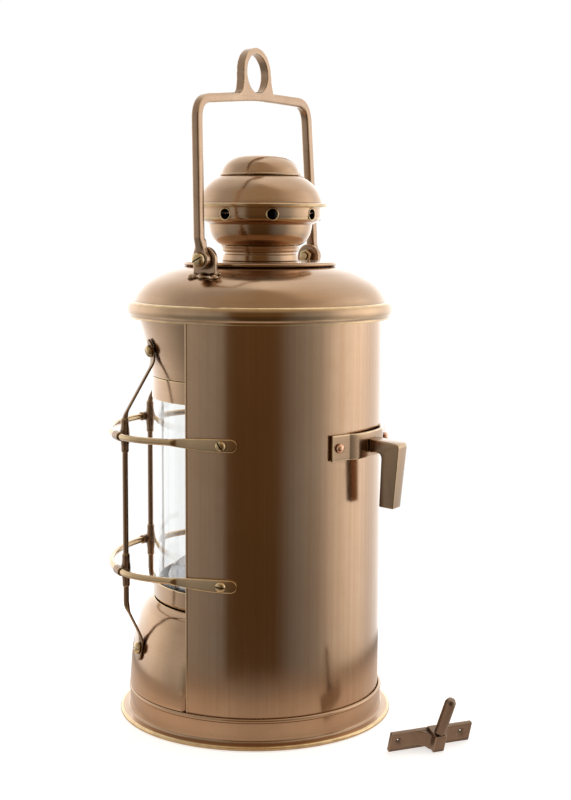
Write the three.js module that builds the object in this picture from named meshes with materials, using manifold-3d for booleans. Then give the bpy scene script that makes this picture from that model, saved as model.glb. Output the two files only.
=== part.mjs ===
// Brass oil lantern with a half-round back casing, a guarded glass front, a swinging bail and a wall bracket.
// Millimetres. +Z is up, the glass faces -Y, the wall side is +Y, and the lantern's axis is the Z axis.
// Profiles are lists of [radius, height]; angles are degrees from +X towards +Y.

import * as THREE from 'three';
import { mergeVertices } from 'three/addons/utils/BufferGeometryUtils.js';
import Module from 'manifold-3d';

const wasm = await Module();
wasm.setup();

// ---------- driving dimensions ----------

const gap = 0.3;                    // clearance between pieces that touch
const sheet = 1.0;                  // brass sheet thickness
const wideSides = 32;               // facets round the large pieces
const headSides = 20;               // facets round the vent head and the oil lamp
const smallSides = 8;               // facets round screws, rivets and pins

const casingR = 85;                 // outside of the back casing
const casingLow = 8.4;
const casingHigh = 275.5;

const glassR = 69.3;
const glassWall = 2.5;
const lowerRing = { low: 80.4, high: 93 };
const upperRing = { low: 217.4, high: 232 };

const lidShift = { x: -1.3, y: 2 };  // the lid sits this far off the lantern's axis
const beadR = 90;                   // outside of the lid's rolled bead
const lidInnerR = 87.7;
const flangeTop = 308.9;
const ventHoleZ = 340;
const ventHoleR = 3.7;
const ventHoles = 8;
const ventHoleStart = -2.2;

const pivotZ = 311;                 // bail pivot height
const earIn = 64;                   // inner face of each bail ear
const earOut = 67.5;
const bailEye = { near: 68, far: 73.2, r: 6.2 };
// The bail is racked: its top bar is lowest over the +X pivot. Each corner is [x, height above the pivot].
const bailCorners = [[72.3, 14], [69.2, 100.9], [0, 107], [-67.5, 106.7], [-71.2, 14]];
const bailLean = 2.4;               // the stored bail leans this far to the front
const bailBar = { halfWide: 2.9, halfThick: 3.1, ankleThick: 2.4, chamfer: 0.9 };
const lug = { topR: 17, footHalf: 20.5, low: 104.5, holeR: 13.2, holeRise: 121.6, half: 3 };

const guardAngle = -94;             // middle of the guard
const barSpread = 60;               // side bars stand this far round from the front bar
const railR = 98.7;
const railRodR = 2.2;
const railHeights = { upper: 195.6, lower: 105.4 };
const railScrewTurn = 111.2;        // rail screws, round from the middle of the guard
const railEndTurn = 118;
const paddleR = casingR + gap + 1;
const barR = railR - railRodR - gap - 2;
const barRodR = 2;
const barScrewZ = { upper: 251, lower: 50.5 };

const strapZ = 192;
const strapHalfHigh = 8.4;
const strapHalfThick = 1.1;
const strapEndTurn = 24.5;
const strapRivetTurn = 20.8;
const strapBulge = 2.6;               // how far the middle of the strap stands off its seat
const armHalfWide = { top: 6.2, foot: 5.4 };
const socket = { y: 102.7, r: 3.85, top: 178 };

const fountSize = { r: 62, top: 106 };
const filler = { x: -27, y: 27 };
const knobZ = 114.5;

const plate = { length: 58.8, height: 13.8, thick: 3 };
const block = { half: 4, out: 11.5, low: 3.9, high: 15.8 };
const pin = { r: 3.6, shankR: 2.4, low: 8.3, shoulder: 16.5, top: 43.6, front: 7.2 };
const pinLean = { sideways: 5, forward: 3.5 };
const bracketPlace = { x: 34.6, y: 121.8, turn: 144.3 };

// ---------- colours ----------

const metal = (color, roughness) => new THREE.MeshStandardMaterial({ color, roughness, metalness: 1 });
const antiqueBrass = metal(0x8a6a45, 0.32);
const brightBrass = metal(0xb8935a, 0.28);
const copper = metal(0xb87652, 0.3);
const tinPlate = metal(0x9b9aa0, 0.35);
const darkBrass = metal(0x6d5240, 0.45);
const clearGlass = new THREE.MeshStandardMaterial({
  color: 0xf2f4f2, roughness: 0.05, metalness: 0, transparent: true, opacity: 0.3,
});
const cotton = new THREE.MeshStandardMaterial({ color: 0xe6dfcf, roughness: 0.95, metalness: 0 });

// ---------- shape helpers ----------

const rad = THREE.MathUtils.degToRad;
const polar = (r, angle, z = 0) => new THREE.Vector3(r * Math.cos(rad(angle)), r * Math.sin(rad(angle)), z);
const xAxis = new THREE.Vector3(1, 0, 0);
const yAxis = new THREE.Vector3(0, 1, 0);
const zAxis = new THREE.Vector3(0, 0, 1);

function bare(geometry) {
  const shape = geometry.clone();
  for (const name of Object.keys(shape.attributes)) {
    if (name !== 'position') shape.deleteAttribute(name);
  }
  return mergeVertices(shape, 1e-4);
}

function volume(geometry) {
  const { position } = geometry.attributes;
  const index = geometry.index.array;
  const [a, b, c] = [0, 1, 2].map(() => new THREE.Vector3());
  let sum = 0;
  for (let i = 0; i < index.length; i += 3) {
    a.fromBufferAttribute(position, index[i]);
    b.fromBufferAttribute(position, index[i + 1]);
    c.fromBufferAttribute(position, index[i + 2]);
    sum += a.dot(b.cross(c)) / 6;
  }
  return sum;
}

// Drops the zero-area triangles that a lathe makes on its axis, and turns the faces outward.
function closed(geometry) {
  const shape = bare(geometry);
  const index = [...shape.index.array];
  const kept = [];
  for (let i = 0; i < index.length; i += 3) {
    const [a, b, c] = index.slice(i, i + 3);
    if (a !== b && b !== c && c !== a) kept.push(a, b, c);
  }
  shape.setIndex(kept);
  if (volume(shape) < 0) {
    for (let i = 0; i < kept.length; i += 3) [kept[i], kept[i + 1]] = [kept[i + 1], kept[i]];
    shape.setIndex(kept);
  }
  return shape;
}

// A solid of revolution about Z. An outline that does not touch the axis closes on itself.
function turned(outline, sides = wideSides) {
  const points = outline.map(([r, z]) => new THREE.Vector2(r, z));
  if (outline[0][0] > 0 || outline.at(-1)[0] > 0) points.push(points[0].clone());
  const geometry = new THREE.LatheGeometry(points, sides);
  return closed(geometry.rotateX(Math.PI / 2));
}

// A turned sheet-metal shell: the outer line, then the same line moved inward by the sheet's thickness.
function shell(outer, sides = wideSides, thick = sheet) {
  const inner = outer.map(([r, z], i) => {
    const [r0, z0] = outer[Math.max(i - 1, 0)];
    const [r1, z1] = outer[Math.min(i + 1, outer.length - 1)];
    const length = Math.hypot(r1 - r0, z1 - z0);
    return [Math.max(r - (thick * Math.abs(z1 - z0)) / length, 0), z - (thick * (r0 - r1)) / length];
  });
  return turned([...outer, ...inner.reverse()], sides);
}

function toManifold(geometry) {
  const shape = closed(geometry);
  return new wasm.Manifold(new wasm.Mesh({
    numProp: 3,
    vertProperties: new Float32Array(shape.attributes.position.array),
    triVerts: new Uint32Array(shape.index.array),
  }));
}

function fromManifold(solid) {
  const { vertProperties, triVerts } = solid.getMesh();
  const geometry = new THREE.BufferGeometry();
  geometry.setAttribute('position', new THREE.BufferAttribute(vertProperties, 3));
  geometry.setIndex(new THREE.BufferAttribute(triVerts, 1));
  return geometry;
}

function join(...geometries) {
  return fromManifold(geometries.map(toManifold).reduce((whole, next) => whole.add(next)));
}

function cut(geometry, ...tools) {
  const whole = toManifold(geometry);
  return fromManifold(tools.map(toManifold).reduce((rest, tool) => rest.subtract(tool), whole));
}

// Turns a piece made along +Z to lie along a direction, then moves it to a point.
function aim(geometry, point, direction) {
  const turn = new THREE.Quaternion().setFromUnitVectors(zAxis, direction.clone().normalize());
  return geometry.clone().applyQuaternion(turn).translate(point.x, point.y, point.z);
}

function rod(from, to, r, sides = smallSides) {
  const along = to.clone().sub(from);
  const geometry = new THREE.CylinderGeometry(r, r, along.length(), sides).rotateX(Math.PI / 2);
  return aim(geometry, from.clone().add(to).multiplyScalar(0.5), along);
}

function box(low, high) {
  const size = high.map((value, i) => value - low[i]);
  const middle = high.map((value, i) => (value + low[i]) / 2);
  return new THREE.BoxGeometry(...size).translate(...middle);
}

// Sweeps a chamfered bar section along points. `wide` is the section's width direction, and
// sizes(i) gives its half width, half thickness and chamfer at point i.
function sweep(points, wide, sizes) {
  const rings = points.map((point, i) => {
    const before = points[Math.max(i - 1, 0)];
    const after = points[Math.min(i + 1, points.length - 1)];
    const along = after.clone().sub(before).normalize();
    const across = along.clone().cross(wide).normalize();
    const [w, t, c] = sizes(i);
    const half = [[w, t - c], [w - c, t], [c - w, t], [-w, t - c]];
    const section = [...half, ...half.map(([u, v]) => [-u, -v])];
    return section.map(([u, v]) => point.clone().addScaledVector(wide, u).addScaledVector(across, v));
  });
  const sides = rings[0].length;
  const index = [];
  for (let i = 0; i + 1 < rings.length; i += 1) {
    for (let k = 0; k < sides; k += 1) {
      const [a, b] = [i * sides + k, i * sides + ((k + 1) % sides)];
      index.push(a, b, b + sides, a, b + sides, a + sides);
    }
  }
  const last = (rings.length - 1) * sides;
  for (let k = 1; k + 1 < sides; k += 1) {
    index.push(0, k + 1, k, last, last + k, last + k + 1);
  }
  const geometry = new THREE.BufferGeometry().setFromPoints(rings.flat());
  geometry.setIndex(index);
  return closed(geometry);
}

// Replaces each inner corner of a polyline by a short curve that starts and ends `reach` from it.
function filleted(corners, reach, steps = 3) {
  const points = [corners[0]];
  for (let i = 1; i + 1 < corners.length; i += 1) {
    const toward = (other) => corners[i].clone().add(other.clone().sub(corners[i]).setLength(reach));
    const bend = new THREE.QuadraticBezierCurve3(toward(corners[i - 1]), corners[i], toward(corners[i + 1]));
    points.push(...bend.getPoints(steps));
  }
  points.push(corners.at(-1));
  return points;
}

function extruded(outline, depth) {
  const shape = new THREE.Shape(outline.map(([x, y]) => new THREE.Vector2(x, y)));
  return new THREE.ExtrudeGeometry(shape, { depth, bevelEnabled: false });
}

const assembly = new THREE.Group();

function add(name, geometry, material, parent = assembly) {
  const mesh = new THREE.Mesh(closed(geometry), material);
  mesh.name = name;
  parent.add(mesh);
  return mesh;
}

// ---------- fasteners ----------

// A slotted round-head screw or a domed rivet: head on +Z from z = 0, shank below.
function fastener({ headR, headHigh, shankR, shankLong, slot }) {
  const head = turned([
    [0, -shankLong], [shankR, -shankLong], [shankR, 0], [headR, 0],
    [headR * 0.85, headHigh * 0.7], [0, headHigh],
  ], smallSides);
  if (!slot) return head;
  const groove = box([-headR - 1, -0.6, headHigh * 0.55], [headR + 1, 0.6, headHigh + 1]);
  return cut(head, groove);
}

const guardScrew = { headR: 4.1, headHigh: 3, shankR: 1.6, shankLong: 4.6, slot: true };
const railScrew = { ...guardScrew, headR: 3.6 };
const strapRivet = { headR: 3.1, headHigh: 2.6, shankR: 1.6, shankLong: 4.4, slot: false };

const bore = (at, direction, r) => rod(
  at.clone().addScaledVector(direction, -8),
  at.clone().addScaledVector(direction, 6),
  r + gap,
  8,
);

// One mesh for each place, numbered from 1.
function fasten(name, kind, places, material) {
  places.forEach(({ at, out }, i) => {
    const mesh = add(`${name}_${i + 1}`, fastener(kind), material);
    mesh.position.copy(at);
    mesh.quaternion.setFromUnitVectors(zAxis, out);
  });
}

// ---------- base and oil lamp ----------

function basePan() {
  const foot = [
    [0, 0], [91.6, 0], [93.2, 0.8], [93.4, 1.9], [92.7, 2.9], [91.2, 3.2], [88, 3.6], [87, 4.8], [86.8, 8],
  ];
  const lip = [[86.6, 16.6], [87, 17.9], [86.2, 18.9], [casingR + gap, 18.6]];
  const ledge = [[casingR + gap, casingLow - gap], [82.2, casingLow - gap], [82.2, 2.4], [0, 2.4]];
  return turned([...foot, ...lip, ...ledge]);
}

function fount() {
  const { r, top } = fountSize;
  const neck = 16;
  return turned([
    [0, 2.8], [r, 2.8], [r, 88], [r - 1.6, 95], [r - 6.5, 101], [r - 14, 104.6], [40, top], [neck, top],
    [neck, top - sheet], [40, top - sheet], [r - 14.4, 103.6], [r - 7.4, 100.2], [r - 2.7, 94.6],
    [r - sheet, 88], [r - sheet, 3.8], [0, 3.8],
  ], headSides);
}

function burnerBody() {
  return turned([
    [8, 108.6], [15.2, 108.6], [15.2, 117.5], [21.5, 119], [22, 122.4],
    [18.5, 122.4], [18, 120.4], [13.6, 119.2], [13.6, 110], [8, 110],
  ], headSides);
}

function burnerCone() {
  const dome = shell([[18, 122.9], [18.2, 128], [15.6, 136], [9, 141.6], [0, 142.8]], 16);
  return cut(dome, box([-12, -2.6, 132], [12, 2.6, 150]));
}

function wickTube() {
  return cut(box([-8.6, -2.2, 110.4], [8.6, 2.2, 134]), box([-7.8, -1.5, 100], [7.8, 1.5, 150]));
}

function wickKnob() {
  const start = new THREE.Vector3(15.6, 0, knobZ);
  const hub = new THREE.Vector3(33, 0, knobZ);
  const rim = new THREE.Vector3(36.5, 0, knobZ);
  return join(rod(start, rim, 1.4, 8), rod(hub, rim, 6.5, 16));
}

add('base_pan', basePan(), antiqueBrass);
add('fount', fount(), tinPlate);
add('filler_cap', turned([[0, 106.4], [8, 106.4], [8, 111.5], [6.8, 112.6], [0, 112.6]], 16), brightBrass)
  .position.set(filler.x, filler.y, 0);
add('burner_collar', turned([[8, 106.3], [19, 106.3], [19, 108.3], [8, 108.3]], headSides), brightBrass);
add('burner_body', burnerBody(), brightBrass);
add('burner_cone', burnerCone(), brightBrass);
add('wick_tube', wickTube(), brightBrass);
add('wick', box([-7.4, -1.1, 60], [7.4, 1.1, 136.5]), cotton);
add('wick_knob', wickKnob(), brightBrass);

// ---------- casing, skirts and glass ----------

const railScrews = [];
for (const z of Object.values(railHeights)) {
  for (const side of [-1, 1]) {
    const angle = guardAngle + side * railScrewTurn;
    railScrews.push({ at: polar(paddleR + 1.1, angle, z), out: polar(1, angle) });
  }
}

const strapRivets = [-1, 1].map((side) => {
  const angle = 90 + side * strapRivetTurn;
  return { at: polar(casingR + 2 * (gap + strapHalfThick) + 0.25, angle, strapZ), out: polar(1, angle) };
});

function casing() {
  const sector = (r) => Array.from({ length: wideSides / 2 + 1 }, (_, i) => {
    const { x, y } = polar(r, (360 / wideSides) * i);
    return [x, y];
  });
  const sleeve = extruded([...sector(casingR), ...sector(casingR - sheet).reverse()], casingHigh - casingLow);
  sleeve.translate(0, 0, casingLow);
  const holes = [
    ...railScrews.map(({ at, out }) => bore(at, out, guardScrew.shankR)),
    ...strapRivets.map(({ at, out }) => bore(at, out, strapRivet.shankR)),
  ];
  return cut(sleeve, ...holes);
}

const lowerSkirtLine = [
  [84.9, casingLow], [84.9, 19.3], [86.3, 21.4], [86.1, 30], [85.5, 38], [84.4, 47],
  [82.7, 55], [80.6, 63], [78.2, 70.4], [74.8, 76], [69.9, 79.9],
];
const upperSkirtLine = [[70.6, 232.4], [71.8, 241], [74.6, 253.5], [79.6, 270], [83.2, 275.5]];

// The height-to-radius line of a skirt, read at one height.
function radiusAt(line, z) {
  const next = line.findIndex(([, height]) => height >= z);
  const [[r0, z0], [r1, z1]] = [line[next - 1], line[next]];
  return r0 + ((r1 - r0) * (z - z0)) / (z1 - z0);
}

const tabHalfThick = 0.8;
const tabLift = gap + tabHalfThick + 0.15;
const tabScrewLift = tabLift + tabHalfThick + gap + 0.2;

// A point lifted off a skirt along the skirt's outward direction there.
function tabSeat(line, z, angle, lift) {
  const slope = (radiusAt(line, z + 2) - radiusAt(line, z - 2)) / 4;
  const out = polar(1, angle, -slope).normalize();
  return { at: polar(radiusAt(line, z), angle, z).addScaledVector(out, lift), out };
}

const barAngles = { front: guardAngle, right: guardAngle + barSpread, left: guardAngle - barSpread };
const barScrews = Object.values(barAngles).flatMap((angle) => [
  tabSeat(upperSkirtLine, barScrewZ.upper, angle, tabScrewLift),
  tabSeat(lowerSkirtLine, barScrewZ.lower, angle, tabScrewLift),
]);
const barBores = barScrews.map(({ at, out }) => bore(at, out, guardScrew.shankR));

// The lower skirt is stepped in where the casing covers it.
function lowerSkirt() {
  const thick = 2;
  const under = casingR - sheet - gap;
  const covered = cut(
    turned([[under, 0], [beadR, 0], [beadR, lowerRing.low], [under, lowerRing.low]]),
    box([-beadR - 1, -beadR - 1, -1], [beadR + 1, -gap, lowerRing.low + 1]),
  );
  return cut(shell(lowerSkirtLine, wideSides, thick), covered, ...barBores);
}

function glassRing({ low, high }, lipAtTop) {
  const lipInner = glassR - glassWall;
  const wallIn = glassR + gap;
  const wallOut = wallIn + sheet;
  const lip = 1.2;
  const [lipEnd, inside, open] = lipAtTop ? [high, high - lip, low] : [low, low + lip, high];
  return turned([
    [wallOut, open], [wallOut, lipEnd], [lipInner, lipEnd],
    [lipInner, inside], [wallIn, inside], [wallIn, open],
  ]);
}

const glassEnds = { low: lowerRing.low + 1.5, high: upperRing.high - 1.5 };

add('lower_skirt', lowerSkirt(), antiqueBrass);
add('lower_glass_ring', glassRing(lowerRing, false), antiqueBrass);
add('glass', turned([
  [glassR - glassWall, glassEnds.low], [glassR, glassEnds.low],
  [glassR, glassEnds.high], [glassR - glassWall, glassEnds.high],
]), clearGlass);
add('upper_glass_ring', glassRing(upperRing, true), antiqueBrass);
add('upper_skirt', cut(shell(upperSkirtLine), ...barBores), antiqueBrass);
add('casing', casing(), antiqueBrass);

// ---------- top and vent head ----------

const lid = new THREE.Group();
lid.position.set(lidShift.x, lidShift.y, 0);
assembly.add(lid);

const domeLine = [
  [85.6, 282.4], [84.2, 285.6], [80.7, 291], [73.2, 297.3], [63.6, 302.3], [51, 305.7], [24, 305.7],
];

function topDome() {
  const bead = [
    [lidInnerR, 271.3], [88.2, 271.3], [88.5, 273.6], [89.5, 275.2],
    [beadR, 277.6], [89.8, 279.9], [89, 281.6], [87.6, 282.4],
  ];
  const inside = [
    [24, 304.7], [50.6, 304.7], [62.9, 301.4], [72.2, 296.6], [79.4, 290.6], [84.6, 279.6], [lidInnerR, 277],
  ];
  return turned([...bead, ...domeLine, ...inside]);
}

function topFlange() {
  return turned([
    [24.5, 306.1], [27, 306.1], [27, 307.7], [49.3, 307.7], [49.3, 306.1],
    [50.6, 306.1], [51.4, 306.6], [51.7, 307.6], [51.1, 308.5], [49.8, flangeTop], [24.5, flangeTop],
  ], wideSides);
}

function ventNeck() {
  const foot = flangeTop + gap;
  return turned([
    [23.2, foot], [25.7, foot], [25.5, 313.1], [24.2, 313.6],
    [24.2, 315], [25.6, 315.6], [26.4, 318.9], [23.2, 318.9],
  ], headSides);
}

function ventBowl() {
  const outside = [
    [26.2, 319.2], [31.4, 322.9], [34.1, 328], [34.9, 333.2], [36.4, 334.4],
    [39.4, 336], [40.8, 338.8], [40.9, 345.8],
  ];
  const inside = [[39.8, 345.8], [39.8, 338.9], [34.4, 335], [32.9, 328.3], [25.2, 320.2]];
  const holes = Array.from({ length: ventHoles }, (_, i) => {
    const angle = ventHoleStart + (360 / ventHoles) * i;
    return rod(polar(34, angle, ventHoleZ), polar(46, angle, ventHoleZ), ventHoleR, 12);
  });
  return cut(turned([...outside, ...inside], headSides), ...holes);
}

function ventCap() {
  return turned([
    [40.8, 346.1], [42.2, 346.1], [42.7, 344.9], [44.1, 344.5], [45.3, 345.2], [45.6, 346.4], [44.7, 347.3],
    [41.8, 347.6], [40.6, 351.2], [38.3, 356.2], [33.8, 361.2], [27.2, 365.4],
    [26, 364.4], [32.9, 360.3], [37.3, 355.6], [39.6, 350.9],
  ], headSides);
}

function ventCrown() {
  return turned([
    [27.4, 365.7], [27.6, 366.6], [26.2, 367.4], [25, 370.4],
    [22.3, 374.2], [17, 377.6], [8.5, 379.3], [0, 379.6],
    [0, 378.5], [8.3, 378.2], [16.4, 376.6], [21.4, 373.6], [24, 369.9], [25.4, 365.7],
  ], headSides);
}

function innerFlue() {
  return turned([
    [17, 298.6], [18, 298.6], [18, 303.2], [23, 303.2], [23, 304.2], [18, 304.2], [18, 350], [17, 350],
  ], headSides);
}

add('top_dome', topDome(), antiqueBrass, lid);
add('top_flange', topFlange(), antiqueBrass, lid);
add('vent_neck', ventNeck(), antiqueBrass, lid);
add('inner_flue', innerFlue(), antiqueBrass, lid);
add('vent_bowl', ventBowl(), antiqueBrass, lid);
add('vent_cap', ventCap(), antiqueBrass, lid);
add('vent_crown', ventCrown(), antiqueBrass, lid);

// ---------- bail, ears and pivots ----------

const pivotShankR = 2.2;
const alongX = (x0, x1, z, r) => rod(new THREE.Vector3(x0, 0, z), new THREE.Vector3(x1, 0, z), r, 16);

// An ear on the +X side: a round-topped plate on a foot that follows the dome.
function ear() {
  const half = 8.4;
  const top = Array.from({ length: 9 }, (_, i) => {
    const { x, y } = polar(half, 22.5 * i);
    return [x, pivotZ + y];
  });
  const upright = extruded([...top, [-half, 294], [half, 294]], earOut - earIn);
  upright.rotateX(Math.PI / 2).rotateZ(Math.PI / 2).translate(earIn, 0, 0);
  const foot = box([61.5, -9.6, 294], [70.4, 9.6, 302.8]);
  const under = turned([[0, 260], ...domeLine.map(([r, z]) => [r + gap * 0.7, z + gap]), [0, 306]]);
  const hole = alongX(earIn - 2, earOut + 2, pivotZ, pivotShankR + gap);
  return cut(join(upright, foot), under, hole);
}

// A pivot screw from outside, its axis along X, and the nut on the ear's inner face.
function pivotScrew() {
  const screw = fastener({
    headR: 4.6, headHigh: 3.6, shankR: pivotShankR, shankLong: bailEye.far + gap - earIn + 5.2, slot: true,
  });
  return aim(screw, new THREE.Vector3(bailEye.far + gap, 0, pivotZ), xAxis);
}

function pivotNut() {
  const [high, cornerR] = [3.4, 4.7];
  const hexagon = new THREE.CylinderGeometry(cornerR, cornerR, high, 6).rotateZ(Math.PI / 2);
  hexagon.translate(earIn - gap - high / 2, 0, pivotZ);
  return cut(hexagon, alongX(earIn - 8, earIn + 2, pivotZ, pivotShankR + gap));
}

// The bail stands upright about its own pivot at the origin; its mesh is then given height and lean.
function bail() {
  const footX = (bailEye.near + bailEye.far) / 2;
  const point = ([x, z]) => new THREE.Vector3(x, 0, z);
  const bends = filleted(bailCorners.map(point), 13, 4);
  const line = [point([footX, 4]), ...bends, point([-footX, 4])];
  const { halfWide, halfThick, ankleThick, chamfer } = bailBar;
  const frame = sweep(line, yAxis, (i) => [
    halfWide, i === 0 || i === line.length - 1 ? ankleThick : halfThick, chamfer,
  ]);

  const arch = Array.from({ length: 13 }, (_, i) => {
    const { x, y } = polar(lug.topR, 15 * i);
    return [x, lug.holeRise + y];
  });
  const lugPlate = extruded([...arch, [-lug.footHalf, lug.low], [lug.footHalf, lug.low]], 2 * lug.half);
  lugPlate.rotateX(Math.PI / 2).translate(0, lug.half, 0);
  const lugHole = rod(
    new THREE.Vector3(0, -9, lug.holeRise), new THREE.Vector3(0, 9, lug.holeRise), lug.holeR, 24,
  );

  const eyes = [-1, 1].map((side) => alongX(side * bailEye.near, side * bailEye.far, 0, bailEye.r));
  const pivotHoles = [-1, 1].map((side) => alongX(side * 60, side * 80, 0, pivotShankR + gap));
  return cut(join(frame, lugPlate, ...eyes), lugHole, ...pivotHoles);
}

for (const [side, turn] of [['right', 0], ['left', Math.PI]]) {
  const fittings = new THREE.Group();
  fittings.rotation.z = turn;
  lid.add(fittings);
  add(`bail_ear_${side}`, ear(), antiqueBrass, fittings);
  add(`pivot_screw_${side}`, pivotScrew(), brightBrass, fittings);
  add(`pivot_nut_${side}`, pivotNut(), brightBrass, fittings);
}

const bailMesh = add('bail', bail(), antiqueBrass, lid);
bailMesh.position.z = pivotZ;
bailMesh.rotation.x = rad(bailLean);

// ---------- guard ----------

// The rail runs round outside the bars, then comes in to a flat paddle on each side of the casing.
function railRadius(turn) {
  const [start, end] = [64, 97];
  const t = THREE.MathUtils.smoothstep(Math.abs(turn), start, end);
  return THREE.MathUtils.lerp(railR, paddleR, t);
}

// Each bar stands at the middle of one straight length, so the rail is straight through its cross.
function railTurns() {
  const half = [3, 12, 21, 30, 39, 48, 57, 63, 71, 79, 87, 91, 97, 103, 109, 115.4, 117, railEndTurn];
  return [...half.map((turn) => -turn).reverse(), ...half];
}

function rail(z) {
  const turns = railTurns();
  const path = turns.map((turn) => polar(railRadius(turn), guardAngle + turn, z));
  const round = { half: railRodR, chamfer: railRodR * 0.58 };
  const flat = { halfWide: 4.2, halfThick: 1, chamfer: 0.45 };
  const endTaper = { 117: 0.86, [railEndTurn]: 0.5 };
  const section = (i) => {
    const turn = Math.abs(turns[i]);
    const thinning = THREE.MathUtils.smoothstep(turn, 87, 94);
    const widening = Math.sin((Math.PI / 2) * THREE.MathUtils.clamp((turn - 87) / 24, 0, 1));
    const between = THREE.MathUtils.lerp;
    return [
      between(round.half, flat.halfWide, widening) * (endTaper[turn] ?? 1),
      between(round.half, flat.halfThick, thinning),
      between(round.chamfer, flat.chamfer, thinning),
    ];
  };
  const holes = railScrews.map(({ at, out }) => bore(at, out, guardScrew.shankR));
  return cut(sweep(path, zAxis, section), ...holes);
}

// A bar lies on the upper skirt, bends out to stand inside the rails, and bends back to the lower skirt.
function bar(angle) {
  const seat = (line, z) => tabSeat(line, z, angle, tabLift).at;
  const corners = [
    seat(upperSkirtLine, 258.5), seat(upperSkirtLine, 244), polar(barR, angle, 209),
    polar(barR, angle, 80), seat(lowerSkirtLine, 57), seat(lowerSkirtLine, 42.5),
  ];
  const path = filleted(corners, 3.2, 2);
  const section = (i) => {
    const standing = path[i].z > 76 && path[i].z < 212;
    return standing ? [barRodR, barRodR, barRodR * 0.58] : [3.6, tabHalfThick, 0.3];
  };
  return cut(sweep(path, polar(1, angle + 90), section), ...barBores);
}

// A cast cross over each place where a bar passes a rail: a socket along each rod.
function crossing(angle, z) {
  const wall = 1.3;
  const upright = rod(polar(barR, angle, z - 11.5), polar(barR, angle, z + 11.5), barRodR + wall, 8);
  const along = polar(1, angle + 90);
  const middle = polar(railR, angle, z);
  const end = (side, long) => middle.clone().addScaledVector(along, side * long);
  const level = rod(end(-1, 5), end(1, 5), railRodR + wall, 8);
  const barSpace = rod(polar(barR, angle, z - 14), polar(barR, angle, z + 14), barRodR * 1.09 + gap, 8);
  const railSpace = rod(end(-1, 9), end(1, 9), (railRodR + gap) * 1.12, 8);
  return cut(join(upright, level), barSpace, railSpace);
}

for (const [level, z] of Object.entries(railHeights)) {
  add(`guard_rail_${level}`, rail(z), antiqueBrass);
}
for (const [place, angle] of Object.entries(barAngles)) {
  add(`guard_bar_${place}`, bar(angle), antiqueBrass);
  for (const [level, z] of Object.entries(railHeights)) {
    add(`guard_cross_${place}_${level}`, crossing(angle, z), antiqueBrass);
  }
}
fasten('rail_screw', railScrew, railScrews, brightBrass);
fasten('bar_screw', guardScrew, barScrews, brightBrass);

// ---------- back hanger ----------

function strap() {
  const seatR = casingR + gap + strapHalfThick + 0.1;
  const bulgeR = seatR + strapBulge;
  const [near, far] = [14.8, strapEndTurn];
  const flatTab = seatR / Math.cos(rad((far - near) / 2)) + 0.05;
  const half = [
    [far, flatTab], [near, flatTab], [11.5, seatR + 1.6], [8, bulgeR - 0.3], [4, bulgeR], [0, bulgeR],
  ];
  const line = [...half.slice(0, -1), ...half.map(([turn, r]) => [-turn, r]).reverse()];
  const path = line.map(([turn, r]) => polar(r, 90 - turn, strapZ));
  const band = sweep(path, zAxis, () => [strapHalfHigh, strapHalfThick, 0.4]);
  return cut(band, ...strapRivets.map(({ at, out }) => bore(at, out, strapRivet.shankR)));
}

// An L-shaped arm: out from the strap, then down, with a blind socket in its foot for the wall pin.
function hangerArm() {
  const root = casingR + 2 * gap + 2 * strapHalfThick + strapBulge + 0.15;
  const [footLow, rootHigh] = [150.7, 195.8];
  const side = new THREE.Shape();
  side.moveTo(root, 186.7);
  side.lineTo(root, rootHigh);
  side.lineTo(109.2, 193.9);
  side.quadraticCurveTo(111.7, 193.4, 111.6, 190.4);
  side.lineTo(107.8, footLow);
  side.lineTo(97.4, 151.5);
  side.lineTo(98.9, 183);
  side.quadraticCurveTo(98.9, 187, 95, 187.1);
  const arm = new THREE.ExtrudeGeometry(side, { depth: 2, bevelEnabled: false, curveSegments: 4 });
  arm.rotateX(Math.PI / 2).rotateZ(Math.PI / 2).translate(-1, 0, 0);
  const { position } = arm.attributes;
  for (let i = 0; i < position.count; i += 1) {
    const share = (position.getZ(i) - footLow) / (rootHigh - footLow);
    const halfWide = THREE.MathUtils.lerp(armHalfWide.foot, armHalfWide.top, share);
    position.setX(i, position.getX(i) * halfWide);
  }
  const low = new THREE.Vector3(0, socket.y, 140);
  return cut(arm, rod(low, new THREE.Vector3(0, socket.y, socket.top), socket.r, 12));
}

add('hanger_strap', strap(), antiqueBrass);
add('hanger_arm', hangerArm(), antiqueBrass);
fasten('strap_rivet', strapRivet, strapRivets, copper);

// ---------- wall bracket ----------

// Made with its plate's lower front edge on X, its front facing -Y. It lies tipped onto its block.
const bracket = new THREE.Group();
bracket.position.set(bracketPlace.x, bracketPlace.y, 0);
bracket.rotation.set(Math.atan2(block.low, block.out), 0, rad(bracketPlace.turn), 'ZYX');
assembly.add(bracket);

function wallPlate() {
  const middle = plate.length / 2;
  const slab = box([0, 0, 0], [plate.length, plate.thick, plate.height]);
  const nose = box([middle - block.half, -block.out, block.low], [middle + block.half, 1, block.high]);
  const flank = (side) => [[14, 0.5], [14, -0.2], [8.5, -1.2], [5.4, -3.6], [3.6, -7], [0, -7], [0, 0.5]]
    .map(([x, y]) => [middle + side * x, y]);
  const flanks = [-1, 1].map((side) => extruded(flank(side), 10.4).translate(0, 0, 2.6));
  const holes = [6.5, plate.length - 6.5].map((x) => aim(
    turned([[0, -5], [2.2, -5], [2.2, 1.1], [4.3, plate.thick + 0.2], [4.3, 8], [0, 8]], 12),
    new THREE.Vector3(x, plate.thick, plate.height / 2),
    new THREE.Vector3(0, -1, 0),
  ));
  const seatFloor = new THREE.Vector3(0, 0, pin.low - gap);
  const seat = leaned(rod(seatFloor, new THREE.Vector3(0, 0, 20), pin.shankR + gap, 12));
  return cut(join(slab, nose, ...flanks), ...holes, seat);
}

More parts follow.
